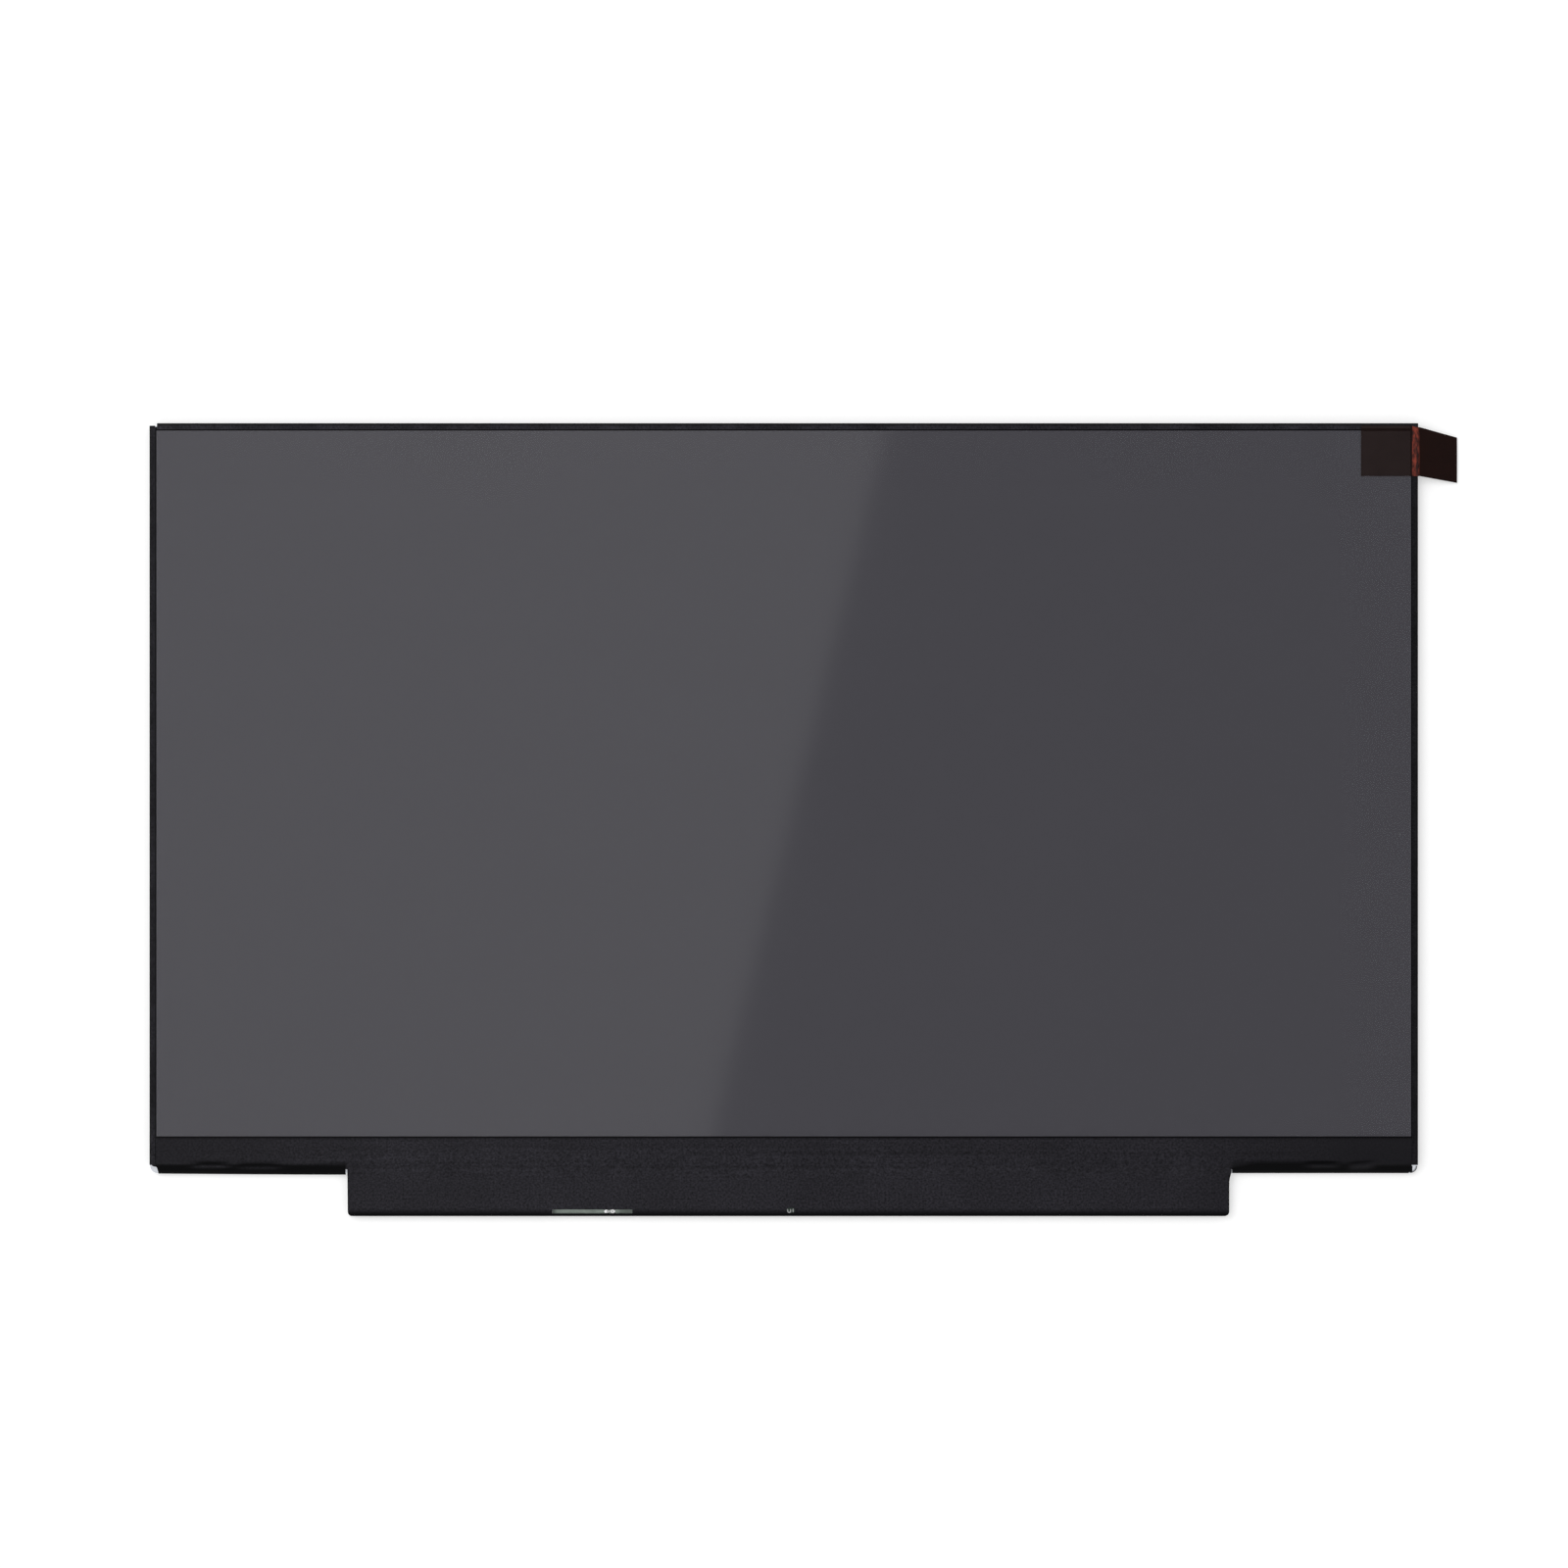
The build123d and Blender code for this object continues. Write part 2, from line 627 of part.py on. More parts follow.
# Driver films from the array glass down to the board, each with its chip underneath
film_path = [(array_bottom + driver_film_bond, filter_z), (film_slope_start, filter_z),
             (film_slope_end, board_front), (film_slope_end - driver_film_bond, board_front)]
chip_middle = array_bottom - driver_chip_gap - driver_chip_width / 2
for index in range(driver_count):
    driver_x = board_shift + (index - (driver_count - 1) / 2) * driver_pitch
    with BuildPart() as driver_film:
        bent_strip(film_path, tape_bend, driver_film_sheet, driver_x, driver_film_width)
    keep(driver_film, f"driver_film_{index + 1}")
    with BuildPart() as driver_chip:
        with BuildSketch(Plane.XY.offset(filter_z - driver_chip_sheet)):
            with Locations((driver_x, chip_middle)):
                Rectangle(driver_chip_length, driver_chip_width)
        extrude(amount=driver_chip_sheet)
    keep(driver_chip, f"driver_chip_{index + 1}")

# Cable socket: metal shell, housing with its tongue, contacts
with BuildPart() as socket_shell:
    with BuildSketch(Plane.XZ.offset(-shell_back)):
        with Locations((socket_x, socket_z)):
            Rectangle(socket_width, socket_height)
            Rectangle(socket_width - 2 * shell_sheet, socket_height - 2 * shell_sheet, mode=Mode.SUBTRACT)
    extrude(amount=shell_depth)
    with BuildSketch(Plane.XY.offset(board_lift - shell_sheet)):
        with Locations((socket_x, shell_back - shell_leg_width)):
            with GridLocations(socket_width, shell_leg_width, 2, 1):
                Rectangle(2 * shell_leg_width, 2 * shell_leg_width)
            Rectangle(socket_width - shell_sheet, 2 * shell_leg_width, mode=Mode.SUBTRACT)
    extrude(amount=shell_sheet)
    with BuildSketch(Plane.XY.offset(board_lift)):
        with Locations((socket_x + shell_dot_shift, tab_bottom + window_rim + window_height / 2)):
            with GridLocations(shell_dot_pitch, shell_dot, 2, 1):
                Circle(shell_dot / 2)
    extrude(amount=shell_dot_height)
    chamfer([dot.edge() for dot in socket_shell.faces().group_by(Axis.Z)[-1]], shell_dot_chamfer)
keep(socket_shell, "socket_shell")

tongue_rear = socket_z - tongue_sheet / 2
with BuildPart() as socket_housing:
    with BuildSketch(Plane.XZ.offset(-socket_back)):
        with Locations((socket_x, (tongue_rear + board_lift) / 2)):
            Rectangle(socket_width - 2 * shell_leg_width, board_lift - tongue_rear)
    extrude(amount=socket_depth - shell_depth)
    with BuildSketch(Plane.XZ.offset(-shell_back)):
        with Locations((socket_x, socket_z)):
            Rectangle(socket_width - 2 * tongue_side_gap, tongue_sheet)
    extrude(amount=shell_depth - tongue_setback)
keep(socket_housing, "socket_housing")

with BuildPart() as socket_contacts:
    contact_first = socket_x - (contact_count - 1) / 2 * contact_pitch - contact_width / 2
    with BuildSketch(Plane.YZ.offset(contact_first)) as contact_profile:
        with BuildLine():
            Polyline((board_bottom + 2 * tongue_setback, tongue_rear), (socket_back, tongue_rear),
                     (socket_back, board_lift), (socket_back + contact_foot, board_lift))
            offset(amount=contact_sheet, side=Side.RIGHT)
        make_face()
    for index in range(contact_count):
        with Locations((index * contact_pitch, 0, 0)):
            add(extrude(contact_profile.sketch, amount=contact_width, mode=Mode.PRIVATE))
keep(socket_contacts, "socket_contacts")

# Test pad that shows through the tape
with BuildPart() as test_pad:
    with BuildSketch(Plane.XY.offset(board_front)):
        with Locations((board_shift + pad_shift, board_bottom + pad_from_edge)):
            Circle(pad_radius)
    extrude(amount=pad_height)
keep(test_pad, "test_pad")


# Parts on the board's back, laid one after another along it
def run_of_parts(start, spans):
    middles = []
    for span in spans:
        middles.append(start + span / 2)
        start += span + part_gap
    return middles


def board_block(label, middle, length, width, height):
    with BuildPart() as block:
        with BuildSketch(Plane.XY.offset(board_lift - height)):
            with Locations((middle, board_bottom + parts_rise)):
                Rectangle(length, width)
        extrude(amount=height)
        chamfer(block.faces().sort_by(Axis.Z)[0].edges(), chip_chamfer)
    keep(block, label)


def board_rows(label, middles, columns, lines, length, width, height):
    with BuildPart() as rows:
        with BuildSketch(Plane.XY.offset(board_lift - height)):
            for middle in middles:
                with Locations((middle, board_bottom + parts_rise)):
                    with GridLocations(length + row_gap, width + line_gap, columns, lines):
                        Rectangle(length, width)
        extrude(amount=height)
    keep(rows, label)


capacitor_span = capacitor_columns * (capacitor_length + row_gap) - row_gap
bulk_span = bulk_columns * (bulk_length + row_gap) - row_gap
resistor_span = resistor_columns * (resistor_length + row_gap) - row_gap
input_resistors_x, input_bulk_x = run_of_parts(
    socket_x - socket_width / 2 - bulk_span - resistor_span - 2 * part_gap, (resistor_span, bulk_span))
timing_caps_x, timing_x, core_caps_x, memory_x, bus_resistors_x = run_of_parts(
    socket_x + socket_width / 2 + part_gap,
    (capacitor_span, timing_chip_side, capacitor_span, memory_chip_length, resistor_span))
power_caps_x, power_x, power_inductor_x, power_bulk_x, power_resistors_x = run_of_parts(
    bus_resistors_x + resistor_span / 2 + 2 * part_gap,
    (capacitor_span, power_chip_side, power_inductor_side, bulk_span, resistor_span))
lamp_caps_x, lamp_chip_x, boost_inductor_x, diode_x = run_of_parts(
    flex_tail_x + flex_tail_width / 2 + part_gap,
    (capacitor_span, lamp_chip_side, boost_inductor_side, diode_length))

board_block("timing_chip", timing_x, timing_chip_side, timing_chip_side, timing_chip_height)
board_block("memory_chip", memory_x, memory_chip_length, memory_chip_width, memory_chip_height)
board_block("power_chip", power_x, power_chip_side, power_chip_side, power_chip_height)
board_block("power_inductor", power_inductor_x, power_inductor_side, power_inductor_side, inductor_height)
board_block("lamp_driver_chip", lamp_chip_x, lamp_chip_side, lamp_chip_side, lamp_chip_height)
board_block("boost_inductor", boost_inductor_x, boost_inductor_side, boost_inductor_side, inductor_height)
board_block("boost_diode", diode_x, diode_length, diode_width, diode_height)

board_rows("capacitors", (timing_caps_x, core_caps_x, power_caps_x, lamp_caps_x), capacitor_columns,
           capacitor_lines, capacitor_length, capacitor_width, capacitor_height)
board_rows("bulk_capacitors", (input_bulk_x, power_bulk_x), bulk_columns, bulk_lines,
           bulk_length, bulk_width, bulk_height)
board_rows("resistors", (input_resistors_x, bus_resistors_x, power_resistors_x), resistor_columns,
           resistor_lines, resistor_length, resistor_width, resistor_height)

# Ground tapes from the cover's pockets to the board's back
for label, place in zip(("ground_tape_left", "ground_tape_right"), ground_places):
    with BuildPart() as ground_tape:
        ground_path = [(cover_bottom + ground_tape_lap, tape_sheet),
                       (cover_bottom - tape_sheet, tape_sheet),
                       (board_top - slope_run, board_lift - tape_sheet),
                       (board_top - slope_run - ground_tape_on_board, board_lift - tape_sheet)]
        bent_strip(ground_path, head_bend, tape_sheet, place, ground_tape_width)
    keep(ground_tape, label)

# Pull tab: its side view follows the film and the crease, its plan the skewed flap
with BuildPart() as pull_tab:
    pull_top = body_top - pull_below_top
    with BuildSketch(Plane.XZ.offset(-body_top)):
        with BuildLine():
            FilletPolyline((body_x - pull_inset, film_front), (screen_width / 2, film_front),
                           (body_x + pull_bend_out, film_front - pull_bend_drop),
                           (body_x + flap_reach, flap_end_lift), radius=tape_bend)
            offset(amount=pull_sheet, side=Side.LEFT)
        make_face()
    extrude(amount=pull_width + overcut)
    with BuildSketch():
        with BuildLine():
            Polyline((body_x - pull_inset, pull_top), (body_x + pull_bend_out, pull_top),
                     (body_x + flap_reach, body_top - flap_top_drop),
                     (body_x + flap_reach, body_top - flap_top_drop - flap_width),
                     (body_x + pull_bend_out, pull_top - pull_width),
                     (body_x - pull_inset, pull_top - pull_width), close=True)
        make_face()
    extrude(amount=film_front + overcut, mode=Mode.INTERSECT)
keep(pull_tab, "pull_tab")
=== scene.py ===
import math
from functools import partialmethod

import bmesh
import bpy
from bpy.props import FloatProperty, FloatVectorProperty, PointerProperty
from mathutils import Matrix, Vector


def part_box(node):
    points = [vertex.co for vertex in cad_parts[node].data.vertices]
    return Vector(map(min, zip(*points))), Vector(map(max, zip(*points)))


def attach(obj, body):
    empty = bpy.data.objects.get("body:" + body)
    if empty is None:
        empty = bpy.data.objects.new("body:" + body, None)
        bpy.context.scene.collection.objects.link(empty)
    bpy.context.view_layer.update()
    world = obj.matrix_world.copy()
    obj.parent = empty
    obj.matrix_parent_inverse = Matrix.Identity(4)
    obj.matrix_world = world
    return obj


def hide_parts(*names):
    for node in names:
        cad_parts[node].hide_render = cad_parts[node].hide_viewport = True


bl_info = {
    "name": "Laptop screen panel",
    "version": (1, 0, 0),
    "blender": (4, 5, 0),
    "location": "3D View > Sidebar > Screen panel",
    "description": "Dresses the packed laptop screen panel: tapes, pull tab, finishes and stage",
    "category": "Object",
}

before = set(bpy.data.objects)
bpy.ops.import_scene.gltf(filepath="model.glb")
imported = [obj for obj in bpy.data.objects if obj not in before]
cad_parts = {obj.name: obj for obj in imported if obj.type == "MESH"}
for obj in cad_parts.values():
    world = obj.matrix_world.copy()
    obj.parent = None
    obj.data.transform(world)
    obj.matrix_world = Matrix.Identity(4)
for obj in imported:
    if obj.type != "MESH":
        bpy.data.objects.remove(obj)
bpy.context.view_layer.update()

# Pieces are drawn in millimetres and brought to metres when they are finished
MM = 0.001
SEATED = "root"
# How near two places count as the same when points and edges are picked, cut and merged
NEAR, LEVEL = 0.01, 0.001
CUT_NEAR, MERGE_NEAR = 0.0001, 0.0005
SMOOTH_ANGLE = math.radians(40)


def box_mm(node):
    low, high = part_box(node)
    return low / MM, high / MM


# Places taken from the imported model
TAPE_LOW, TAPE_HIGH = box_mm("front_cover_tape")
BOARD_LOW, BOARD_HIGH = box_mm("control_board")
COVER_LOW, COVER_HIGH = box_mm("back_cover")
SCREEN_HIGH = box_mm("front_polarizer")[1]
GLASS_FRONT = box_mm("colour_filter_glass")[1].z
TAPE_SHEET = 0.05
TAB_OVERHANG = 0.3
TAB_LEFT = BOARD_LOW.x - TAB_OVERHANG
TAB_RIGHT = BOARD_HIGH.x + TAB_OVERHANG
TAB_BOTTOM = TAPE_LOW.y
LIP_TOP = TAPE_HIGH.y


# Settings that a user would change

def colour_setting(name, description, default):
    return FloatVectorProperty(name=name, description=description, default=default, subtype="COLOR", size=3,
                               min=0, max=1)


class ScreenSettings(bpy.types.PropertyGroup):
    face_colour: colour_setting("Face colour", "Grey of the anti-glare face", (0.0578, 0.0558, 0.0663))
    face_roughness: FloatProperty(
        name="Face roughness", description="How far the anti-glare face blurs a reflection", subtype="FACTOR",
        min=0, max=1, default=0.047)
    film_haze: FloatProperty(
        name="Film haze", description="How much the protective film hides the face", subtype="FACTOR",
        min=0, max=1, default=0.04)


class TapeSettings(bpy.types.PropertyGroup):
    flat_colour: colour_setting("Flat colour", "Black of the tape where it lies flat",
                                (0.0156, 0.0147, 0.0188))
    # The bend colour is painted shade, drawn where the tape bends over an edge, tilts away from the front or
    # lies along a rim
    shade_colour: colour_setting("Bend colour", "Black of the tape where it is pulled over an edge",
                                (0.0020, 0.0020, 0.0024))
    crumple: FloatProperty(
        name="Crumple", description="Height of the crumples over the lower edge", subtype="DISTANCE",
        unit="LENGTH", min=0, max=0.0004, precision=5, default=0.00016)


class PullTabSettings(bpy.types.PropertyGroup):
    film_colour: colour_setting("Film colour", "Dark brown of the pull tab over the screen",
                                (0.0205, 0.0139, 0.0136))
    flap_colour: colour_setting("Flap colour", "Darker brown of the free flap", (0.0093, 0.0030, 0.0022))
    crease_colour: colour_setting("Crease colour", "Red where the film is creased over the edge",
                                  (0.180, 0.036, 0.024))
    sheet: FloatProperty(
        name="Thickness", description="Thickness of the film", subtype="DISTANCE", unit="LENGTH",
        min=0.00002, max=0.0002, precision=5, default=0.00008)


class MetalSettings(bpy.types.PropertyGroup):
    cover_colour: colour_setting("Cover colour", "Bare rolled metal of the back cover", (0.66, 0.68, 0.72))
    shell_colour: colour_setting("Shell colour", "Tinned metal of the cable socket", (0.26, 0.30, 0.27))
    solder_colour: colour_setting("Solder colour", "Bright solder spots and test pad", (0.96, 0.97, 0.97))


class BoardSettings(bpy.types.PropertyGroup):
    mask_colour: colour_setting("Mask colour", "Solder mask of the control board", (0.006, 0.016, 0.010))
    chip_colour: colour_setting("Chip colour", "Moulded body of the chips", (0.014, 0.014, 0.015))


class StageSettings(bpy.types.PropertyGroup):
    lens: FloatProperty(
        name="Lens", description="Focal length of the camera in millimetres", min=20, max=300, default=100)
    view_width: FloatProperty(
        name="View width", description="Width of the picture at the screen's face", subtype="DISTANCE",
        unit="LENGTH", min=0.1, max=1, default=0.39019)
    floor_colour: colour_setting("Floor colour", "Colour of the plain floor", (0.70, 0.70, 0.70))
    surround: FloatProperty(
        name="Surround", description="Brightness of the room's soft light", min=0, max=2, default=0.80)


# Helpers for the modelling

def clamp(value):
    return min(1.0, max(0.0, value))


def begin(name, add, **start):
    """Adds a primitive with nothing else selected and opens it for editing."""
    bpy.ops.object.select_all(action="DESELECT")
    add(**start)
    piece = bpy.context.object
    piece.name = piece.data.name = name
    bpy.ops.object.mode_set(mode="EDIT")
    return piece


def begin_sheet(name, low, high, level):
    """Adds a flat sheet between two corners and opens it for editing."""
    piece = begin(name, bpy.ops.mesh.primitive_plane_add, size=1.0)
    bpy.ops.transform.resize(value=(high[0] - low[0], high[1] - low[1], 1))
    bpy.ops.transform.translate(value=((low[0] + high[0]) / 2, (low[1] + high[1]) / 2, level))
    return piece


def pick_all():
    bpy.ops.mesh.select_all(action="SELECT")


def pick(piece, mode, kind, test):
    """Selects the points, edges or faces of a piece in edit mode that pass the test."""
    bpy.ops.mesh.select_mode(type=mode)
    bpy.ops.mesh.select_all(action="DESELECT")
    edit = bmesh.from_edit_mesh(piece.data)
    for item in getattr(edit, kind):
        item.select = test(item)
    edit.select_flush_mode()
    bmesh.update_edit_mesh(piece.data)


def pick_points(piece, test):
    pick(piece, "VERT", "verts", lambda point: test(point.co))


def pick_edges(piece, test):
    """Picks edges by their two ends."""
    pick(piece, "EDGE", "edges", lambda edge: test(edge.verts[0].co, edge.verts[1].co))


def cut_away(piece, test):
    """Deletes the faces whose middle passes the test."""
    pick(piece, "FACE", "faces", lambda face: test(face.calc_center_median()))
    bpy.ops.mesh.delete(type="FACE")


def draw_out(steps):
    """Extrudes what is selected from one step to the next."""
    for step in steps:
        bpy.ops.mesh.extrude_region_move(TRANSFORM_OT_translate={"value": step})


def steps_along(path):
    """Steps in Y and Z between the points of a path."""
    return [(0, b[0] - a[0], b[1] - a[1]) for a, b in zip(path, path[1:])]


def cut_across(places):
    """Cuts the whole piece by upright planes at these places across."""
    for place in places:
        pick_all()
        bpy.ops.mesh.bisect(plane_co=(place, 0, 0), plane_no=(1, 0, 0), threshold=CUT_NEAR)


def shape_points(piece, move):
    """Moves every point of a piece one by one, as a sculpting brush would."""
    bpy.ops.object.mode_set(mode="OBJECT")
    for point in piece.data.vertices:
        point.co = move(point.co.copy())


def apply_modifier(piece, kind, **settings):
    bpy.ops.object.mode_set(mode="OBJECT")
    modifier = piece.modifiers.new(kind.title(), kind)
    for key, value in settings.items():
        setattr(modifier, key, value)
    bpy.ops.object.modifier_apply(modifier=modifier.name)


def face_outwards():
    """Merges doubles and turns the normals of the closed piece in hand outwards."""
    bpy.ops.object.mode_set(mode="EDIT")
    pick_all()
    bpy.ops.mesh.remove_doubles(threshold=MERGE_NEAR)
    bpy.ops.mesh.normals_make_consistent(inside=False)
    bpy.ops.object.mode_set(mode="OBJECT")


def take_in_hand(piece):
    """Leaves edit mode and selects this piece alone."""
    bpy.ops.object.mode_set(mode="OBJECT")
    bpy.ops.object.select_all(action="DESELECT")
    piece.select_set(True)
    bpy.context.view_layer.objects.active = piece


def settle():
    """Leaves edit mode and moves the place of the piece in hand into its mesh."""
    bpy.ops.object.mode_set(mode="OBJECT")
    bpy.ops.object.transform_apply(location=True, rotation=True, scale=True)


def seat(piece, material, slot, *nodes):
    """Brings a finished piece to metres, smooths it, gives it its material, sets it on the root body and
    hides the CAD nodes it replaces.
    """
    take_in_hand(piece)
    piece.scale = (MM, MM, MM)
    settle()
    bpy.ops.object.shade_smooth_by_angle(angle=SMOOTH_ANGLE)
    piece.data.materials.clear()
    piece.data.materials.append(material)
    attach(piece, SEATED)
    if nodes:
        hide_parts(*nodes)
    piece.select_set(False)


def dress(material, *nodes):
    """Gives CAD nodes a finish."""
    for name in nodes:
        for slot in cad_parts[name].material_slots:
            slot.material = material


# Helpers for the finishes

# Shares of a mask over which a value changes
NARROW, HALF, BROAD, WHOLE = (0.3, 0.7), (0.25, 0.75), (0.2, 0.8), (0.0, 1.0)
WHITE = (1, 1, 1, 1)


def shade(colour, factor):
    return tuple(min(1.0, channel * factor) for channel in colour)


class Nodes:
    """Short ways to add nodes to a tree. What a node is given is a plain value or another node's socket."""

    def __init__(self, tree):
        self.tree = tree

    def give(self, socket, value):
        if isinstance(value, bpy.types.NodeSocket):
            self.tree.links.new(value, socket)
        else:
            socket.default_value = value

    def add(self, kind, inputs=None, **settings):
        node = self.tree.nodes.new(kind)
        for key, value in settings.items():
            setattr(node, key, value)
        for key, value in (inputs or {}).items():
            self.give(node.inputs[key], value)
        return node

    def maths(self, operation, *values):
        node = self.add("ShaderNodeMath", operation=operation)
        for socket, value in zip(node.inputs, values):
            self.give(socket, value)
        return node.outputs[0]

    times = partialmethod(maths, "MULTIPLY")
    plus = partialmethod(maths, "ADD")
    minus = partialmethod(maths, "SUBTRACT")
    most = partialmethod(maths, "MAXIMUM")

    def parts(self, vector):
        return self.add("ShaderNodeSeparateXYZ", {"Vector": vector}).outputs

    def remap(self, value, low, high, to_low=0.0, to_high=1.0):
        return self.add("ShaderNodeMapRange", {
            "Value": value, "From Min": low, "From Max": high, "To Min": to_low,
            "To Max": to_high}).outputs[0]

    def ramp(self, value, low, high, to_low=0.0, to_high=1.0):
        """A change between two places that are given in millimetres."""
        return self.remap(value, low * MM, high * MM, to_low, to_high)

    def band(self, value, rise, fall):
        """One between two places in millimetres, with soft sides, and nought outside."""
        return self.times(self.ramp(value, *rise), self.ramp(value, *fall, 1.0, 0.0))

    def blend(self, factor, first, second):
        node = self.add("ShaderNodeMix", data_type="RGBA")
        for label, value in (("Factor", factor), ("A", first), ("B", second)):
            socket = next(s for s in node.inputs if s.name == label and s.enabled)
            self.give(socket, (*value, 1.0) if isinstance(value, tuple) else value)
        return next(s for s in node.outputs if s.enabled)

    def tones(self, mask, colour, darker, lighter):
        return self.blend(mask, shade(colour, darker), shade(colour, lighter))

    def looked_at(self):
        """One for what the camera sees, also in glossy and clear faces."""
        path = self.add("ShaderNodeLightPath").outputs
        return self.most(path["Is Camera Ray"], self.most(path["Is Glossy Ray"], path["Is Transmission Ray"]))


class Finish(Nodes):
    """A material with the values that are the same all over set on its shader."""

    def __init__(self, name, **plain):
        self.material = bpy.data.materials.new(name)
        self.material.use_nodes = True
        super().__init__(self.material.node_tree)
        self.shader = self.tree.nodes["Principled BSDF"].inputs
        for key, value in plain.items():
            self.shader[key.replace("_", " ")].default_value = value
        self.place = self.add("ShaderNodeTexCoord").outputs["Object"]

    def group(self, name, inputs):
        return self.add("ShaderNodeGroup", inputs, node_tree=bpy.data.node_groups[name]).outputs

    def grain(self, grain, patch):
        return self.group("fine_grain", {
            "Place": self.place, "Grain per metre": grain, "Patch per metre": patch})

    def streaks(self, per_metre, contrast):
        return self.group("long_streaks", {
            "Place": self.place, "Streaks per metre": per_metre, "Contrast": contrast})["Streak"]

    def specks(self, per_metre, share, radius):
        return self.group("dust_specks", {
            "Place": self.place, "Specks per metre": per_metre, "Share": share, "Radius": radius})["Speck"]

    def feed(self, label, value):
        self.give(self.shader[label], value)

    def colour(self, mask, first, second):
        self.feed("Base Color", self.blend(mask, first, second))

    def roughness(self, mask, span, smooth, rough):
        self.feed("Roughness", self.remap(mask, *span, smooth, rough))

    def bump(self, height, strength, distance):
        self.feed("Normal", self.add("ShaderNodeBump", {
            "Strength": strength, "Distance": distance, "Height": height}).outputs[0])


# Effects that several finishes share

PLACE = ("NodeSocketVector", "Place", None)
NUMBER = "NodeSocketFloat"


def new_group(name, inputs, outputs):
    tree = bpy.data.node_groups.new(name, "ShaderNodeTree")
    for kind, label, default in inputs:
        socket = tree.interface.new_socket(label, in_out="INPUT", socket_type=kind)
        if default is not None:
            socket.default_value = default
    for label in outputs:
        tree.interface.new_socket(label, in_out="OUTPUT", socket_type=NUMBER)
    return Nodes(tree), tree.nodes.new("NodeGroupInput").outputs, tree.nodes.new("NodeGroupOutput").inputs


def make_grain():
    """Fine even grain, as on matt tape, moulded plastic and anti-glare coating."""
    nodes, given, out = new_group(
        "fine_grain", [PLACE, (NUMBER, "Grain per metre", 4000.0), (NUMBER, "Patch per metre", 60.0)],
        ["Grain", "Patch"])
    for label, detail, roughness in (("Grain", 2.0, 0.6), ("Patch", 3.0, 0.5)):
        noise = nodes.add("ShaderNodeTexNoise", {
            "Vector": given["Place"], "Scale": given[f"{label} per metre"], "Detail": detail,
            "Roughness": roughness})
        nodes.give(out[label], noise.outputs[0])


def make_streaks():
    """Long streaks in one direction, as left by rolling, unwinding or wiping."""
    nodes, given, out = new_group(
        "long_streaks", [PLACE, ("NodeSocketVector", "Streaks per metre", (10, 900, 900)),
                         (NUMBER, "Contrast", 0.5)], ["Streak"])
    drawn = nodes.add("ShaderNodeVectorMath", {0: given["Place"], 1: given["Streaks per metre"]},
                      operation="MULTIPLY")
    noise = nodes.add("ShaderNodeTexNoise", {
        "Vector": drawn.outputs[0], "Scale": 1.0, "Detail": 4.0, "Roughness": 0.6})
    spread = nodes.times(nodes.minus(noise.outputs[0], 0.5), given["Contrast"])
    nodes.give(out["Streak"], nodes.plus(spread, 0.5))


def make_specks():
    """A few separate specks of dust or tiny pits."""
    nodes, given, out = new_group(
        "dust_specks", [PLACE, (NUMBER, "Specks per metre", 120.0), (NUMBER, "Share", 0.1),
                        (NUMBER, "Radius", 0.03)], ["Speck"])
    cells = nodes.add("ShaderNodeTexVoronoi", {
        "Vector": given["Place"], "Scale": given["Specks per metre"], "Randomness": 1.0}).outputs
    chosen = nodes.add("ShaderNodeSeparateColor", {"Color": cells["Color"]}).outputs[0]
    near = nodes.maths("LESS_THAN", cells["Distance"], given["Radius"])
    nodes.give(out["Speck"], nodes.times(near, nodes.maths("LESS_THAN", chosen, given["Share"])))


# The tapes paint shade with this mask
def make_tilt():
    """One where a face is tilted away from the front, nought where it lies flat."""
    nodes, given, out = new_group(
        "tilted_away", [(NUMBER, "Flat below", 0.1), (NUMBER, "Tilted above", 0.4)], ["Tilt"])
    upright = nodes.parts(nodes.add("ShaderNodeNewGeometry").outputs["Normal"])["Z"]
    level = nodes.minus(1.0, nodes.times(upright, upright))
    sine = nodes.maths("SQRT", nodes.most(level, 0.0))
    nodes.give(out["Tilt"], nodes.remap(sine, given["Flat below"], given["Tilted above"]))


# Finishes

DUST_COLOUR = (0.16, 0.16, 0.165)
FILM_TINTS = ((0.055, 0.055, 0.062), (0.085, 0.085, 0.092))


def screen_finish(settings):
    rough = settings.face_roughness
    face = Finish("anti_glare_face", Specular_IOR_Level=0.5)
    grain = face.grain(grain=5200.0, patch=22.0)
    tone = face.tones(grain["Patch"], settings.face_colour, darker=0.985, lighter=1.015)
    faint = face.times(face.specks(per_metre=46.0, share=0.16, radius=0.012), 0.35)
    face.colour(faint, tone, DUST_COLOUR)
    face.roughness(grain["Grain"], NARROW, rough * 0.9, rough * 1.1)
    return face.material


def film_finish(settings):
    haze = settings.film_haze
    film = Finish("clear_peel_film", Specular_IOR_Level=0.05)
    streak = film.streaks(per_metre=(6.0, 160.0, 160.0), contrast=0.8)
    film.colour(streak, *FILM_TINTS)
    film.feed("Alpha", film.remap(streak, *BROAD, haze * 0.8, haze * 1.2))
    film.roughness(streak, BROAD, 0.42, 0.52)
    return film.material


def dark_glass_finish(name, colour):
    glass = Finish(name, Specular_IOR_Level=0.06)
    grain = glass.grain(grain=900.0, patch=40.0)
    glass.colour(grain["Patch"], shade(colour, 0.8), shade(colour, 1.2))
    glass.roughness(grain["Grain"], NARROW, 0.16, 0.22)
    return glass.material


# Where the wide tape's streaks fade towards the board, and where painted shade darkens it towards its two
# ends
STREAKS_FADE = (-96.0, -91.0)
ENDS_SHADE_LEFT, ENDS_SHADE_RIGHT = (-95.0, -150.0), (95.0, 140.0)


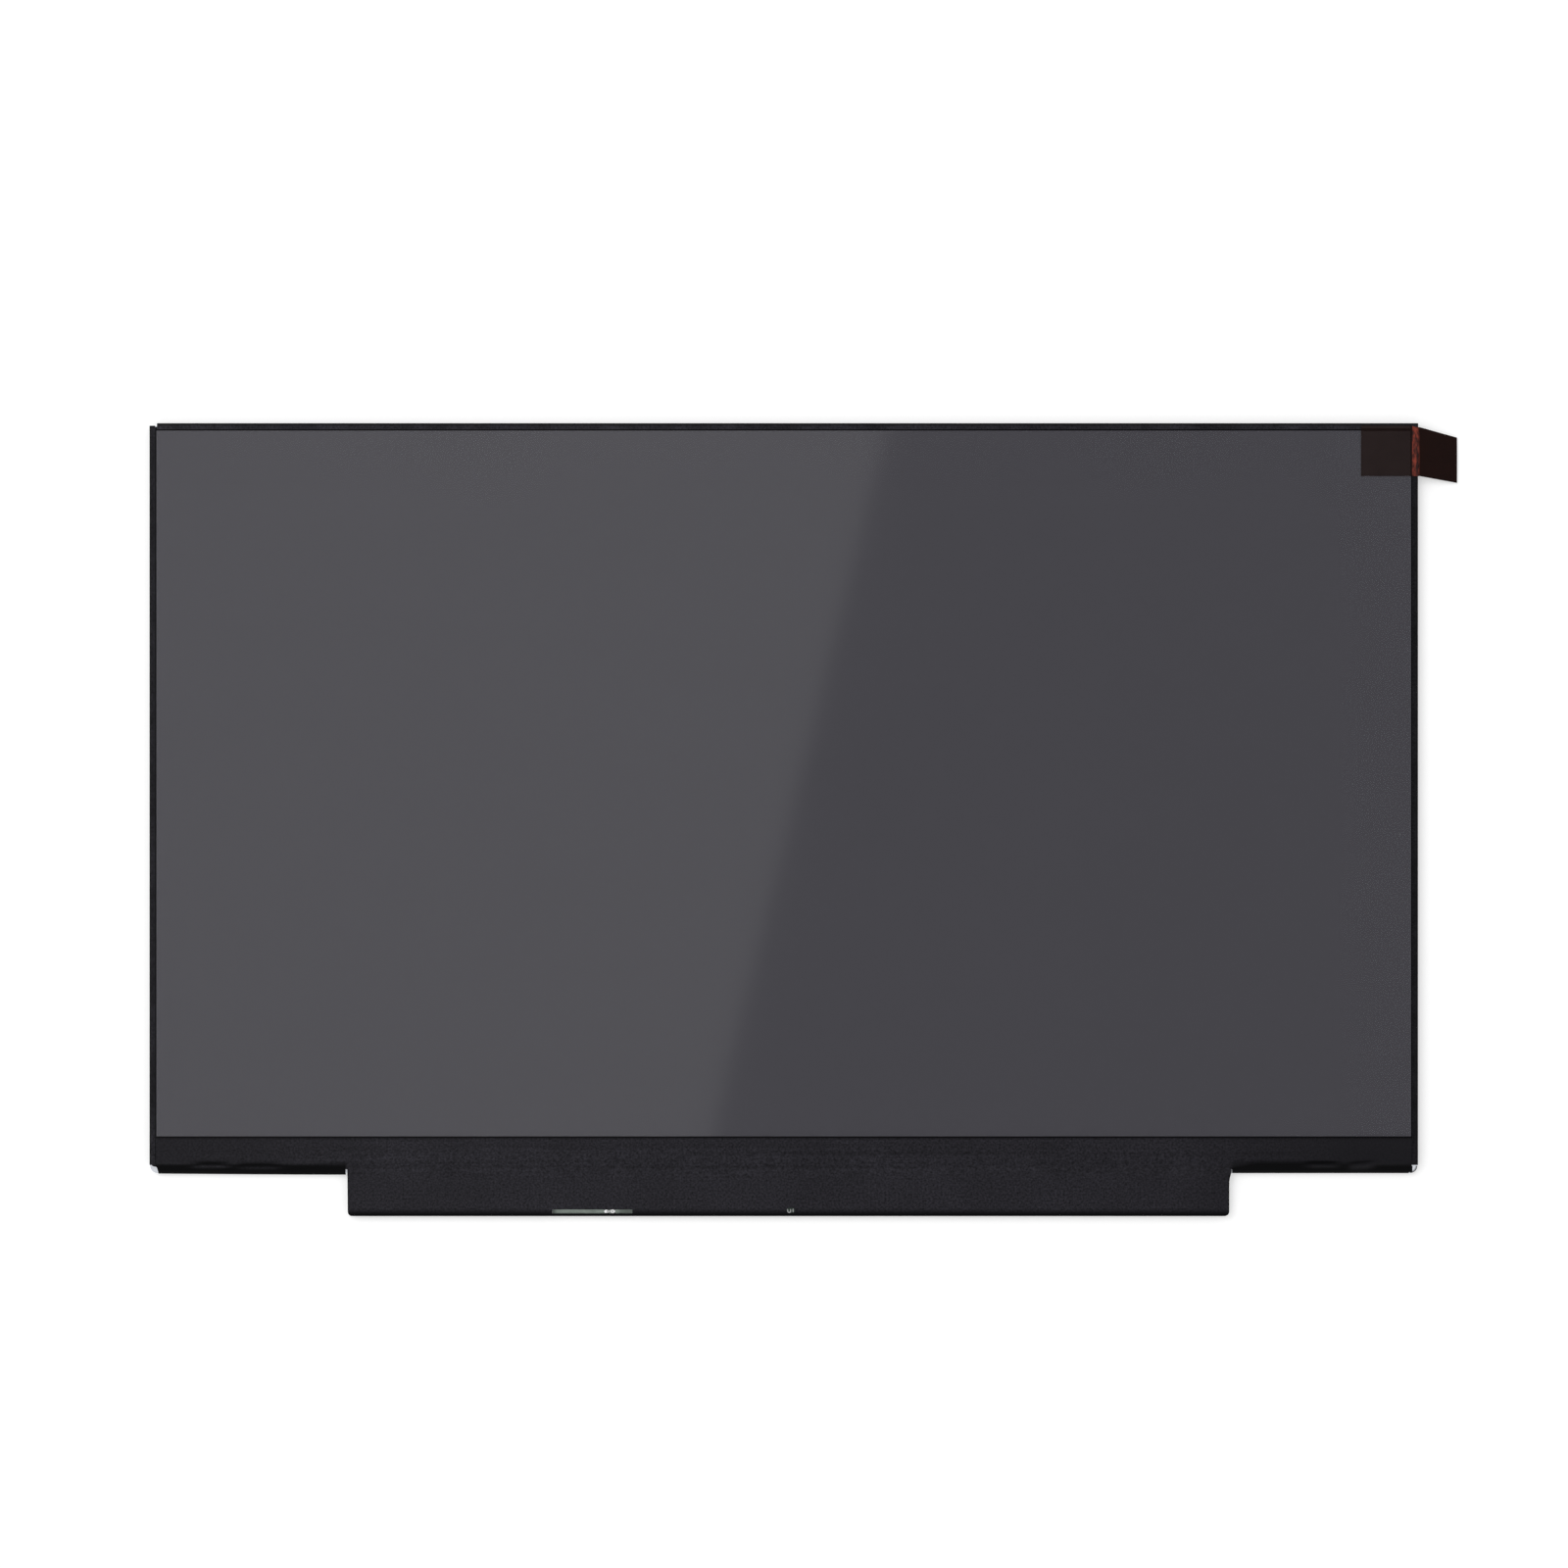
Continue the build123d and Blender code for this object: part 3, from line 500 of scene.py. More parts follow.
def tape_finish(settings, name, streaks, tone=1.0, rims=(), wide=False):
    """Matt black tape. Its face has painted shade: darker and plainer where it tilts away from the front,
    along its outer rims and where the mesh marks it as shaded over an edge.

    The wide tape has painted shade towards its two ends, deeper at the right end, and is streaked above the
    board. A narrow one is cloudier.
    """
    flat = shade(settings.flat_colour, tone)
    patch, cloud = (55.0, (0.44, 0.56)) if wide else (160.0, (0.28, 0.72))
    tape = Finish(name, Specular_IOR_Level=0.03, Coat_Roughness=0.30)
    where = tape.parts(tape.place)
    grain = tape.grain(grain=2000.0, patch=patch)
    streak = tape.streaks(per_metre=streaks, contrast=1.0)
    contrast = tape.ramp(where["Y"], *STREAKS_FADE, 0.2, 1.1) if wide else 0.4
    drawn = tape.times(tape.minus(streak, 0.5), contrast)
    speckled = tape.times(tape.remap(grain["Grain"], *HALF, 0.27, 1.73), tape.plus(drawn, 1.0))
    depth = tape.times(speckled, tape.remap(grain["Patch"], *NARROW, *cloud))
    cloudy = tape.blend(depth, (0, 0, 0), shade(flat, 2.0))
    # Painted shade: darker where the face tilts away from the front or the mesh marks it as shaded
    tilt = tape.group("tilted_away", {"Flat below": 0.25, "Tilted above": 0.55})["Tilt"]
    pulled = tape.most(tilt, tape.add("ShaderNodeAttribute", attribute_name="pulled").outputs["Fac"])
    # Painted shade along the outer rims where the tape turns round the edge
    for axis, edge, width in rims:
        rim = tape.ramp(tape.maths("ABSOLUTE", where[axis]), edge - width, edge - 0.6 * width)
        pulled = tape.most(pulled, rim)
    # Painted shade towards the two ends, deeper at the right end
    if wide:
        left = tape.ramp(where["X"], *ENDS_SHADE_LEFT, 0.0, 0.75)
        ends = tape.most(left, tape.ramp(where["X"], *ENDS_SHADE_RIGHT))
        cloudy = tape.blend(ends, cloudy, shade(flat, 0.5))
    tape.colour(pulled, cloudy, tuple(settings.shade_colour))
    tape.roughness(pulled, WHOLE, 0.55, 0.35)
    sheen = tape.remap(grain["Grain"], *HALF, 0.12, 0.24)
    tape.feed("Coat Weight", tape.times(sheen, tape.remap(pulled, *WHOLE, 1.0, 0.10)))
    height = tape.plus(tape.times(grain["Grain"], 0.6), tape.times(streak, 0.4))
    tape.bump(height, strength=0.12, distance=0.00004)
    return tape.material


PULL_DUST = (0.085, 0.065, 0.06)


def pull_tab_finish(settings):
    """Brown film: red and mottled along the crease, darker on the free flap, with painted shade along the
    fold and over the gap at the screen's top edge.
    """
    flap_colour = tuple(settings.flap_colour)
    tab = Finish("brown_pull_film", Specular_IOR_Level=0.05)
    where = tab.parts(tab.place)
    across, along = where["X"], where["Y"]
    grain = tab.grain(grain=1700.0, patch=260.0)
    mottle = tab.streaks(per_metre=(1500.0, 420.0, 10.0), contrast=2.6)
    # The crease lies between the screen's edge and the body's edge, with painted shade along the fold at its
    # start
    start, end, top = SCREEN_HIGH.x, COVER_HIGH.x, SCREEN_HIGH.y
    crease = tab.band(across, (start + 0.2, start + 0.4), (end - 0.3, end + 0.5))
    reddened = tab.times(crease, tab.remap(mottle, *HALF, 0.05, 1.0))
    fold_shade = tab.times(tab.band(across, (start - 0.3, start - 0.1), (start + 0.2, start + 0.4)), 0.7)
    on_screen = tab.tones(grain["Patch"], settings.film_colour, darker=0.86, lighter=1.14)
    # Painted shade over the gap along the screen's top edge, where the film's shape stays level
    gap_shade = tab.times(tab.band(along, (top - 0.2, top), (top + 0.45, top + 0.65)), 0.75)
    over_gap = tab.blend(tab.most(gap_shade, fold_shade), on_screen, shade(flap_colour, 0.6))
    flap = tab.tones(grain["Patch"], flap_colour, darker=0.7, lighter=1.3)
    film = tab.blend(tab.ramp(across, end - 0.4, end + 0.4), over_gap, flap)
    creased = tab.blend(reddened, film, tab.tones(mottle, settings.crease_colour, darker=0.6, lighter=1.35))
    dust = tab.times(tab.specks(per_metre=330.0, share=0.10, radius=0.06), 0.5)
    tab.colour(dust, creased, PULL_DUST)
    tab.roughness(grain["Patch"], NARROW, 0.24, 0.34)
    tab.feed("Alpha", tab.ramp(across, start - 0.4, start, 0.94, 1.0))
    height = tab.plus(tab.times(grain["Grain"], 0.3), tab.times(reddened, 0.7))
    tab.bump(height, strength=0.15, distance=0.00005)
    return tab.material


# Width of the back cover's domed margin at both sides, and the radius of its lower corners
COVER_MARGIN = 2.0
COVER_CORNER = 1.8


def metal_finish(name, colour, streaks, roughness, dull, domed=False):
    """Rolled metal. The cover's side margins are domed, and its lower right corner has painted shade along
    its rounded edge.
    """
    metal = Finish(name, Metallic=1.0)
    streak = metal.streaks(per_metre=streaks, contrast=1.2)
    rolled = metal.tones(streak, colour, darker=0.82, lighter=1.1)
    patch = metal.remap(metal.grain(grain=1500.0, patch=70.0)["Patch"], 0.5, 0.8, 0.0, dull)
    stained = metal.blend(patch, rolled, shade(colour, 0.55))
    metal.roughness(streak, BROAD, roughness * 0.8, roughness * 1.25)
    if not domed:
        metal.feed("Base Color", stained)
        metal.bump(streak, strength=0.10, distance=0.00003)
        return metal.material
    where = metal.parts(metal.place)
    out = metal.maths("ABSOLUTE", where["X"])
    dome = metal.ramp(out, COVER_HIGH.x - COVER_MARGIN, COVER_HIGH.x, 1.0, 0.0)
    # Painted shade runs along the rounded edge of the corner
    right = metal.most(metal.minus(where["X"], (COVER_HIGH.x - COVER_CORNER) * MM), 0.0)
    down = metal.most(metal.minus((COVER_LOW.y + COVER_CORNER) * MM, where["Y"]), 0.0)
    inside = metal.maths("GREATER_THAN", metal.maths("MINIMUM", right, down), 0.0)
    reach = metal.maths("SQRT", metal.plus(metal.times(right, right), metal.times(down, down)))
    edge = metal.ramp(reach, COVER_CORNER - 0.6, COVER_CORNER - 0.1)
    metal.colour(metal.times(edge, inside), stained, shade(colour, 0.08))
    metal.bump(metal.plus(metal.times(streak, 0.004), dome), strength=1.0, distance=0.0008)
    return metal.material


def shell_finish(colour):
    """Dull tinned sheet, cloudy along its length and darker past the solder spots, with painted shade near
    the left edge of the tape's window.
    """
    shell = Finish("tinned_shell", Metallic=1.0)
    across = shell.parts(shell.place)["X"]
    cloud = shell.streaks(per_metre=(420.0, 900.0, 60.0), contrast=1.6)
    sheet = shell.tones(cloud, colour, darker=0.6, lighter=1.4)
    dull = shell.ramp(across, SPOT_HOLLOW[0] + 0.6, SPOT_HOLLOW[0] + 2.0, 0.0, 0.55)
    # Painted shade near the left edge of the tape's window
    window_edge_shade = shell.ramp(across, WINDOW_LEFT + 0.3, WINDOW_LEFT + 1.2, 0.7, 0.0)
    shell.colour(shell.most(dull, window_edge_shade), sheet, shade(colour, 0.25))
    shell.roughness(cloud, BROAD, 0.28, 0.42)
    shell.bump(cloud, strength=0.15, distance=0.00004)
    return shell.material


def foil_finish(name, colour):
    """Conductive cloth tape: a fine woven check in metal."""
    foil = Finish(name, Metallic=1.0)
    check = foil.add("ShaderNodeTexChecker", {
        "Vector": foil.place, "Scale": 3300.0, "Color1": (*colour, 1.0),
        "Color2": (*shade(colour, 0.7), 1.0)}).outputs
    grain = foil.grain(grain=2000.0, patch=120.0)
    foil.colour(foil.times(grain["Patch"], 0.5), check["Color"], shade(colour, 0.6))
    foil.roughness(grain["Grain"], NARROW, 0.32, 0.48)
    foil.bump(check["Fac"], strength=0.3, distance=0.00003)
    return foil.material


def plastic_finish(name, colour, roughness, specular, grain_per_metre=2400.0):
    plastic = Finish(name, Specular_IOR_Level=specular)
    grain = plastic.grain(grain=grain_per_metre, patch=90.0)
    mottled = plastic.tones(grain["Grain"], colour, darker=0.85, lighter=1.15)
    plastic.colour(plastic.times(grain["Patch"], 0.3), mottled, shade(colour, 0.8))
    plastic.roughness(grain["Patch"], NARROW, roughness * 0.9, roughness * 1.1)
    plastic.bump(grain["Grain"], strength=0.15, distance=0.00003)
    return plastic.material


def dotted_sheet_finish(name, colour, dots_per_metre, share):
    """A pale optical sheet with its even field of tiny printed dots."""
    sheet = Finish(name, Specular_IOR_Level=0.4)
    cells = sheet.add("ShaderNodeTexVoronoi", {
        "Vector": sheet.place, "Scale": dots_per_metre, "Randomness": 0.15})
    dot = sheet.remap(cells.outputs["Distance"], share, share + 0.06, 1.0, 0.0)
    sheet.colour(dot, colour, shade(colour, 1.12))
    sheet.roughness(dot, WHOLE, 0.22, 0.45)
    return sheet.material


def traced_finish(name, ground, trace, per_metre, roughness):
    """Fine copper runs under a film or mask, with a few bare round pads."""
    board = Finish(name, Specular_IOR_Level=0.45)
    runs = board.add("ShaderNodeTexBrick", {
        "Vector": board.place, "Scale": per_metre, "Mortar Size": 0.018, "Brick Width": 0.9,
        "Row Height": 0.16, "Color1": (*ground, 1.0), "Color2": (*shade(ground, 1.15), 1.0),
        "Mortar": (*trace, 1.0)}).outputs
    pads = board.specks(per_metre=per_metre * 1.4, share=0.25, radius=0.16)
    grain = board.grain(grain=2600.0, patch=80.0)
    runs_and_pads = board.blend(pads, runs["Color"], shade(trace, 1.5))
    board.colour(board.times(grain["Patch"], 0.3), runs_and_pads, shade(ground, 0.7))
    board.roughness(grain["Grain"], NARROW, roughness * 0.85, roughness * 1.15)
    board.bump(runs["Fac"], strength=0.25, distance=0.00003)
    return board.material


LAMP_BODY = ((0.72, 0.72, 0.70), (0.82, 0.82, 0.80))
LAMP_RESIN = (0.75, 0.55, 0.08)


def lamp_finish():
    """White lamp bodies whose windows, facing the light guide, hold yellow resin."""
    lamp = Finish("lamp_resin", Specular_IOR_Level=0.5)
    ahead = lamp.parts(lamp.add("ShaderNodeNewGeometry").outputs["Normal"])["Y"]
    grain = lamp.grain(grain=3000.0, patch=300.0)
    lamp.colour(lamp.remap(ahead, 0.4, 0.6), lamp.blend(grain["Patch"], *LAMP_BODY), LAMP_RESIN)
    lamp.roughness(grain["Grain"], NARROW, 0.35, 0.5)
    return lamp.material


# Pieces

class PANEL_OT_effects(bpy.types.Operator):
    """Builds the effects that the finishes share"""
    bl_idname = "panel.effects"
    bl_label = "Shared effects"

    def execute(self, context):
        make_grain()
        make_streaks()
        make_specks()
        make_tilt()
        return {"FINISHED"}


class PANEL_OT_screen(bpy.types.Operator):
    """Finishes the screen: anti-glare face, peel-off film and the two glasses"""
    bl_idname = "panel.screen"
    bl_label = "Screen"

    def execute(self, context):
        settings = context.scene.panel_screen
        dress(screen_finish(settings), "front_polarizer")
        seat(draw_peel_film(), film_finish(settings), "film", "protective_film")
        dress(dark_glass_finish("black_border_glass", (0.0045, 0.0045, 0.0054)), "colour_filter_glass")
        dress(dark_glass_finish("array_glass", (0.012, 0.014, 0.016)), "array_glass")
        dress(dark_glass_finish("rear_polarizer", (0.022, 0.022, 0.028)), "rear_polarizer")
        return {"FINISHED"}


# The film lies a hair clear of the face below it and of the pull tab above it
FILM_GAP = 0.01
FILM_CORNER = 0.8


def draw_peel_film():
    """A thin clear sheet with rounded corners."""
    low, high = box_mm("protective_film")
    piece = begin_sheet("peel_film", low, high, low.z + FILM_GAP)
    pick_all()
    bpy.ops.mesh.bevel(offset=FILM_CORNER, segments=6, affect="VERTICES")
    pick_all()
    draw_out([(0, 0, high.z - low.z - 2 * FILM_GAP)])
    face_outwards()
    return piece


# Streaks per metre of tape that was unwound up the screen or along it
UPRIGHT, ALONG = (900.0, 14.0, 900.0), (14.0, 900.0, 900.0)
WIDE_STREAKS = (11.0, 1000.0, 1000.0)
# Width of the painted shade along a tape's outer rim, where it turns round the edge
SIDE_RIM, TOP_RIM = 0.42, 0.62


class PANEL_OT_edge_tapes(bpy.types.Operator):
    """Finishes the thin tapes folded round three edges and those inside"""
    bl_idname = "panel.edge_tapes"
    bl_label = "Edge tapes"

    def execute(self, context):
        settings = context.scene.panel_tape
        side = ("X", COVER_HIGH.x + TAPE_SHEET, SIDE_RIM)
        top = ("Y", COVER_HIGH.y + TAPE_SHEET, TOP_RIM)
        # The left and right tapes are one tape at two tones: painted shade, with the right one drawn darker
        # than the left
        dress(tape_finish(settings, "left_tape", UPRIGHT, tone=0.60, rims=(side,)), "edge_tape_left")
        dress(tape_finish(settings, "right_tape", UPRIGHT, tone=0.34, rims=(side,)), "edge_tape_right")
        dress(tape_finish(settings, "top_tape", ALONG, rims=(top, side)), "edge_tape_top")
        dress(tape_finish(settings, "inner_tape", ALONG, tone=0.6), "rim_tape", "led_flex_tape")
        return {"FINISHED"}


class PANEL_OT_cover_tape(bpy.types.Operator):
    """Models the wide black tape over the lower border and the board, crumpled over the shoulders"""
    bl_idname = "panel.cover_tape"
    bl_label = "Cover tape"

    def execute(self, context):
        settings = context.scene.panel_tape
        piece = draw_cover_tape()
        crumple_shoulders(piece, settings.crumple / MM)
        round_corners(piece)
        thicken_cover_tape(piece)
        paint_tape_shade(piece)
        finish = tape_finish(settings, "cover_tape", WIDE_STREAKS, wide=True)
        seat(piece, finish, "black_tape", "front_cover_tape")
        return {"FINISHED"}


# Path of the cover tape's rear face, as place up and height: over the glass and down to the driver films
FILMS_TOP = box_mm("driver_film_1")[1].z + 0.03
BOARD_TOP = BOARD_HIGH.z + 0.09
HEAD_PATH = ((LIP_TOP, GLASS_FRONT), (-85.05, GLASS_FRONT), (-85.35, 2.485), (-85.8, 2.445),
             (-86.6, 2.385), (-87.6, 2.33), (-88.6, 2.30), (-89.3, FILMS_TOP), (-89.7, FILMS_TOP))
# From there over the lower edge at the shoulders
DRAPE_PATH = ((-89.7, 2.29), (-89.95, 2.29), (-90.2, 2.29), (-90.45, 2.29), (-90.65, 2.283), (-90.85, 2.262),
              (-91.1, 2.21), (-91.3, 2.163), (-91.5, 2.115), (-91.7, 2.065), (-91.9, 2.015), (-92.1, 1.965),
              (-92.3, 1.91), (-92.6, 1.80), (-92.85, 1.64), (-93.06, 1.42), (-93.2, 1.2), (-93.3, 0.95),
              (-93.35, 0.65), (-93.35, 0.35), (-93.35, 0.1))
# And over the board in the middle
TAB_PATH = ((-89.7, 2.29), (-90.6, 2.29), (-91.2, 2.288), (-91.5, 2.28), (-91.8, 2.258), (-92.2, 2.224),
            (-93.1, 2.14), (-93.9, 2.06), (-94.7, 1.995), (-95.5, BOARD_TOP), (-96.6, BOARD_TOP),
            (-98.5, BOARD_TOP), (-100.5, BOARD_TOP), (-102.0, BOARD_TOP), (-102.38, 1.985), (-102.75, 1.977),
            (-103.1, 1.964), (-103.4, 1.946), (-103.65, 1.925), (-103.8, 1.90), (-103.93, 1.83),
            (-104.01, 1.70), (-104.03, 1.55), (-104.03, 1.40))
# Rounds of cuts along the tape's length
LENGTH_CUTS = (15, 15)
WINDOW_LEFT, WINDOW_RIGHT = -57.6, -37.7
WINDOW_TOP, WINDOW_BOTTOM = -102.38, -103.4
LEFT_SLIT = (TAB_LEFT - 0.45, TAB_LEFT)
RIGHT_SLIT = (TAB_RIGHT, TAB_RIGHT + 0.93)
SLIT_TOP = -92.2
LEFT_END, RIGHT_END = 155.83, 155.7
LEFT_END_TOP, RIGHT_END_TOP = -92.85, -93.1
# Between the tongue and the skirt the left end slants
SLANT_START, SLANT = 156.15, 0.27
# The tongue over the left corner ear, and the short lap over the right one
TONGUE_TOP, TONGUE_BOTTOM = -91.3, -91.7
TONGUE_STEPS = (0.3, 0.25, 0.2, 0.15, 0.1)
TONGUE_SAG, TONGUE_ROUND = 0.45, 1.05
LAP_TOP, LAP = -91.4, 0.2
PAD_HOLE = 0.65
PAD_SLOT = 0.85
TAB_CORNER = 1.2
CORNER_STEPS = (0.2, 0.45, 0.7, 0.95, TAB_CORNER)
# The tab's left edge stands in a little, more so towards the bottom
TAB_SHIFT, TAB_SLANT = 0.12, 0.10
# Its right edge flares out towards the shoulder
FLARE, FLARE_WIDTH, FLARE_RISE = 0.52, 2.5, 2.7
FLARE_TOP, FLARE_BOTTOM = -92.0, -96.0


def draw_cover_tape():
    """The flat lip on the glass, drawn out row by row over the shoulders and the tab."""
    half = TAPE_HIGH.x
    lip_end, row = HEAD_PATH[1][0], HEAD_PATH[-1][0]
    piece = begin_sheet("cover_tape", (-half, lip_end), (half, LIP_TOP), GLASS_FRONT)
    for cuts in LENGTH_CUTS:
        pick_edges(piece, lambda a, b: abs(a.x - b.x) > NEAR)
        bpy.ops.mesh.subdivide(number_cuts=cuts)
    cut_across([TAB_LEFT, TAB_RIGHT, WINDOW_LEFT, WINDOW_RIGHT, LEFT_SLIT[0], RIGHT_SLIT[1],
                -LEFT_END, RIGHT_END])
    cut_across([TAB_LEFT + step for step in CORNER_STEPS] + [TAB_RIGHT - step for step in CORNER_STEPS])
    pick_edges(piece, lambda a, b: max(a.y, b.y) < lip_end + NEAR)
    draw_out(steps_along(HEAD_PATH[1:]))
    pick_edges(piece, lambda a, b: max(a.y, b.y) < row + NEAR and (max(a.x, b.x) < TAB_LEFT + NEAR
                                                                   or min(a.x, b.x) > TAB_RIGHT - NEAR))
    draw_out(steps_along(DRAPE_PATH))
    pick_edges(piece, lambda a, b: abs(a.y - b.y) < LEVEL and abs(a.y - row) < NEAR
               and min(a.x, b.x) > TAB_LEFT - NEAR and max(a.x, b.x) < TAB_RIGHT + NEAR)
    draw_out(steps_along(TAB_PATH))
    # Slits beside the board, the window over the socket, and the skirt's ends at the body's corners
    cut_away(piece, lambda c: c.y < SLIT_TOP and (LEFT_SLIT[0] < c.x < LEFT_SLIT[1]
                                                  or RIGHT_SLIT[0] < c.x < RIGHT_SLIT[1]))
    cut_away(piece, lambda c: WINDOW_LEFT < c.x < WINDOW_RIGHT and WINDOW_BOTTOM < c.y < WINDOW_TOP)
    cut_away(piece, lambda c: (c.x < -LEFT_END and c.y < LEFT_END_TOP
                               or c.x > RIGHT_END and c.y < RIGHT_END_TOP))
    pick_edges(piece, lambda a, b: abs(a.x - b.x) < LEVEL and a.x < -half + NEAR
               and TONGUE_BOTTOM - NEAR < min(a.y, b.y) and max(a.y, b.y) < TONGUE_TOP + NEAR)
    draw_out([(-step, 0, 0) for step in TONGUE_STEPS])
    pick_edges(piece, lambda a, b: abs(a.x - b.x) < LEVEL and a.x > half - NEAR
               and RIGHT_END_TOP < min(a.y, b.y) and max(a.y, b.y) < LAP_TOP)
    draw_out([(LAP, 0, 0)])
    return piece


# Where the painted shade of the bend over the shoulders starts and how softly it deepens: place across,
# start, softness
BENDS = ((-156.0, -90.85, 0.55), (-136.0, -90.95, 0.45), (-118.0, -90.8, 0.7), (-109.0, -90.0, 1.6),
         (112.0, -89.85, 2.2), (118.0, -89.7, 1.3), (128.0, -89.8, 1.2), (139.5, -90.35, 1.0),
         (150.0, -90.75, 0.9), (156.5, -90.4, 1.2))
# Crumples: middle, half length and slope, then the place, width and strength of the groove and of the ridge
CRUMPLES = ((-142.6, 4.4, 0.0, -90.80, 0.55, 1.0, -91.70, 0.36, 1.1),
            (-130.6, 5.0, 0.0, -91.10, 0.55, 0.9, -92.05, 0.36, 0.55),
            (134.3, 4.0, 0.0, -90.50, 0.35, 0.8, -91.58, 0.45, 0.65),
            (143.9, 3.1, 0.06, -90.50, 0.40, 0.8, -91.65, 0.70, 0.95))
# Share of the crumples' height that lifts a ridge and lowers a groove
RIDGE_LIFT, GROOVE_DIP = 0.9, 0.2
# The shoulders begin just past the tab's left edge, and past the flare of its right one
SHOULDER_LEFT, SHOULDER_RIGHT, SHOULDER_TOP = TAB_LEFT - 0.05, TAB_RIGHT + 0.6, -88.7
# How far the skirt stands off the edge: on the left beside the tab and at the end, and on the right
LEFT_STAND_OFF = (0.45, 0.17)
RIGHT_STAND_OFF = 0.06
# Heights between which the skirt comes to stand off, from its top and from its foot
SKIRT_TOP, SKIRT_DROP = 2.1, 0.9
SKIRT_FOOT, FOOT_RISE = 0.1, 0.4


def bend_at(across):
    """Start and softness of the painted shade over the bend at a place along the shoulders."""
    for left, right in zip(BENDS, BENDS[1:]):
        if across < right[0]:
            break
    share = clamp((across - left[0]) / (right[0] - left[0]))
    return [a + (b - a) * share for a, b in zip(left[1:], right[1:])]


def crumple_at(point):
    """Strength of the grooves and of the ridges at a point of the shoulders."""
    groove = 0.0
    ridge = 0.0
    for middle, half, slope, groove_y, groove_width, deep, ridge_y, ridge_width, high in CRUMPLES:
        along = math.exp(-((point.x - middle) / half) ** 4)
        up = point.y - slope * (point.x - middle)
        groove += deep * along * math.exp(-((up - groove_y) / groove_width) ** 2)
        ridge += high * along * math.exp(-((up - ridge_y) / ridge_width) ** 2)
    return groove, ridge


def on_shoulder(point):
    return point.x < SHOULDER_LEFT or point.x > SHOULDER_RIGHT


def stand_off(across):
    """How far the skirt stands off the lower edge at a place along the shoulders."""
    if across > 0:
        return RIGHT_STAND_OFF
    beside, end = LEFT_STAND_OFF
    away = clamp((TAB_LEFT - across) / (TAB_LEFT + LEFT_END))
    return beside + (end - beside) * away ** 1.5


def crumple_shoulders(piece, height):
    """Lifts low ridges where the tape is gathered over the lower edge, and lets the skirt stand off."""
    def move(point):
        if on_shoulder(point) and point.y < SHOULDER_TOP:
            groove, ridge = crumple_at(point)
            point.z += height * (RIDGE_LIFT * ridge - GROOVE_DIP * groove)
            full = clamp((SKIRT_TOP - point.z) / SKIRT_DROP) * clamp((point.z - SKIRT_FOOT) / FOOT_RISE)
            point.y -= full * stand_off(point.x)
        return point
    shape_points(piece, move)


# Painted shade at the tab's lower bend, in a faint line above the body's edge, along the tab's rims and along
# the lip's top
TAB_BEND, TAB_BEND_WIDTH = -102.0, 1.5
TAB_LINE, TAB_LINE_WIDTH, TAB_LINE_DARK = -91.7, 0.4, 0.16
TAB_RIM = 0.4
LIP_DARK, LIP_WIDTH = 0.6, 0.6


def paint_tape_shade(piece):
    """Marks painted shade where the tape bends over the lower edge of the shoulders and of the tab, in a
    faint line above the body's edge, along the tab's rims and the lip's top, deeper in the crumples' grooves
    and less on their ridges.
    """
    def pulled(point):
        if on_shoulder(point):
            start, softness = bend_at(point.x)
            # Painted shade is deeper in the crumples' grooves and lifted off their ridges
            groove, ridge = crumple_at(point)
            dark = min(1.0, max(0.0, (start - point.y) / softness) + groove) - ridge
        else:
            dark = clamp((TAB_BEND - point.y) / TAB_BEND_WIDTH) ** 1.2
            dark = max(dark, TAB_LINE_DARK * math.exp(-((point.y - TAB_LINE) / TAB_LINE_WIDTH) ** 2))
            if point.y < COVER_LOW.y:
                dark = max(dark, 1 - min(point.x - TAB_LEFT - TAB_SHIFT, TAB_RIGHT - point.x) / TAB_RIM)
        lip = LIP_DARK * max(0.0, 1 - (LIP_TOP - point.y) / LIP_WIDTH)
        return min(1.0, max(dark, lip))
    marks = piece.data.attributes.new("pulled", "FLOAT", "POINT")
    marks.data.foreach_set("value", [pulled(point.co) for point in piece.data.vertices])


def rounded(point, middle, side, radius):
    """Moves a point of a square corner onto the rounded one."""
    across = (point.x - middle[0]) / radius * side
    down = (middle[1] - point.y) / radius
    if 0 < across < 1 + NEAR and 0 < down < 1 + NEAR:
        point.x = middle[0] + side * radius * across * math.sqrt(1 - down * down / 2)
        point.y = middle[1] - radius * down * math.sqrt(1 - across * across / 2)
    return point


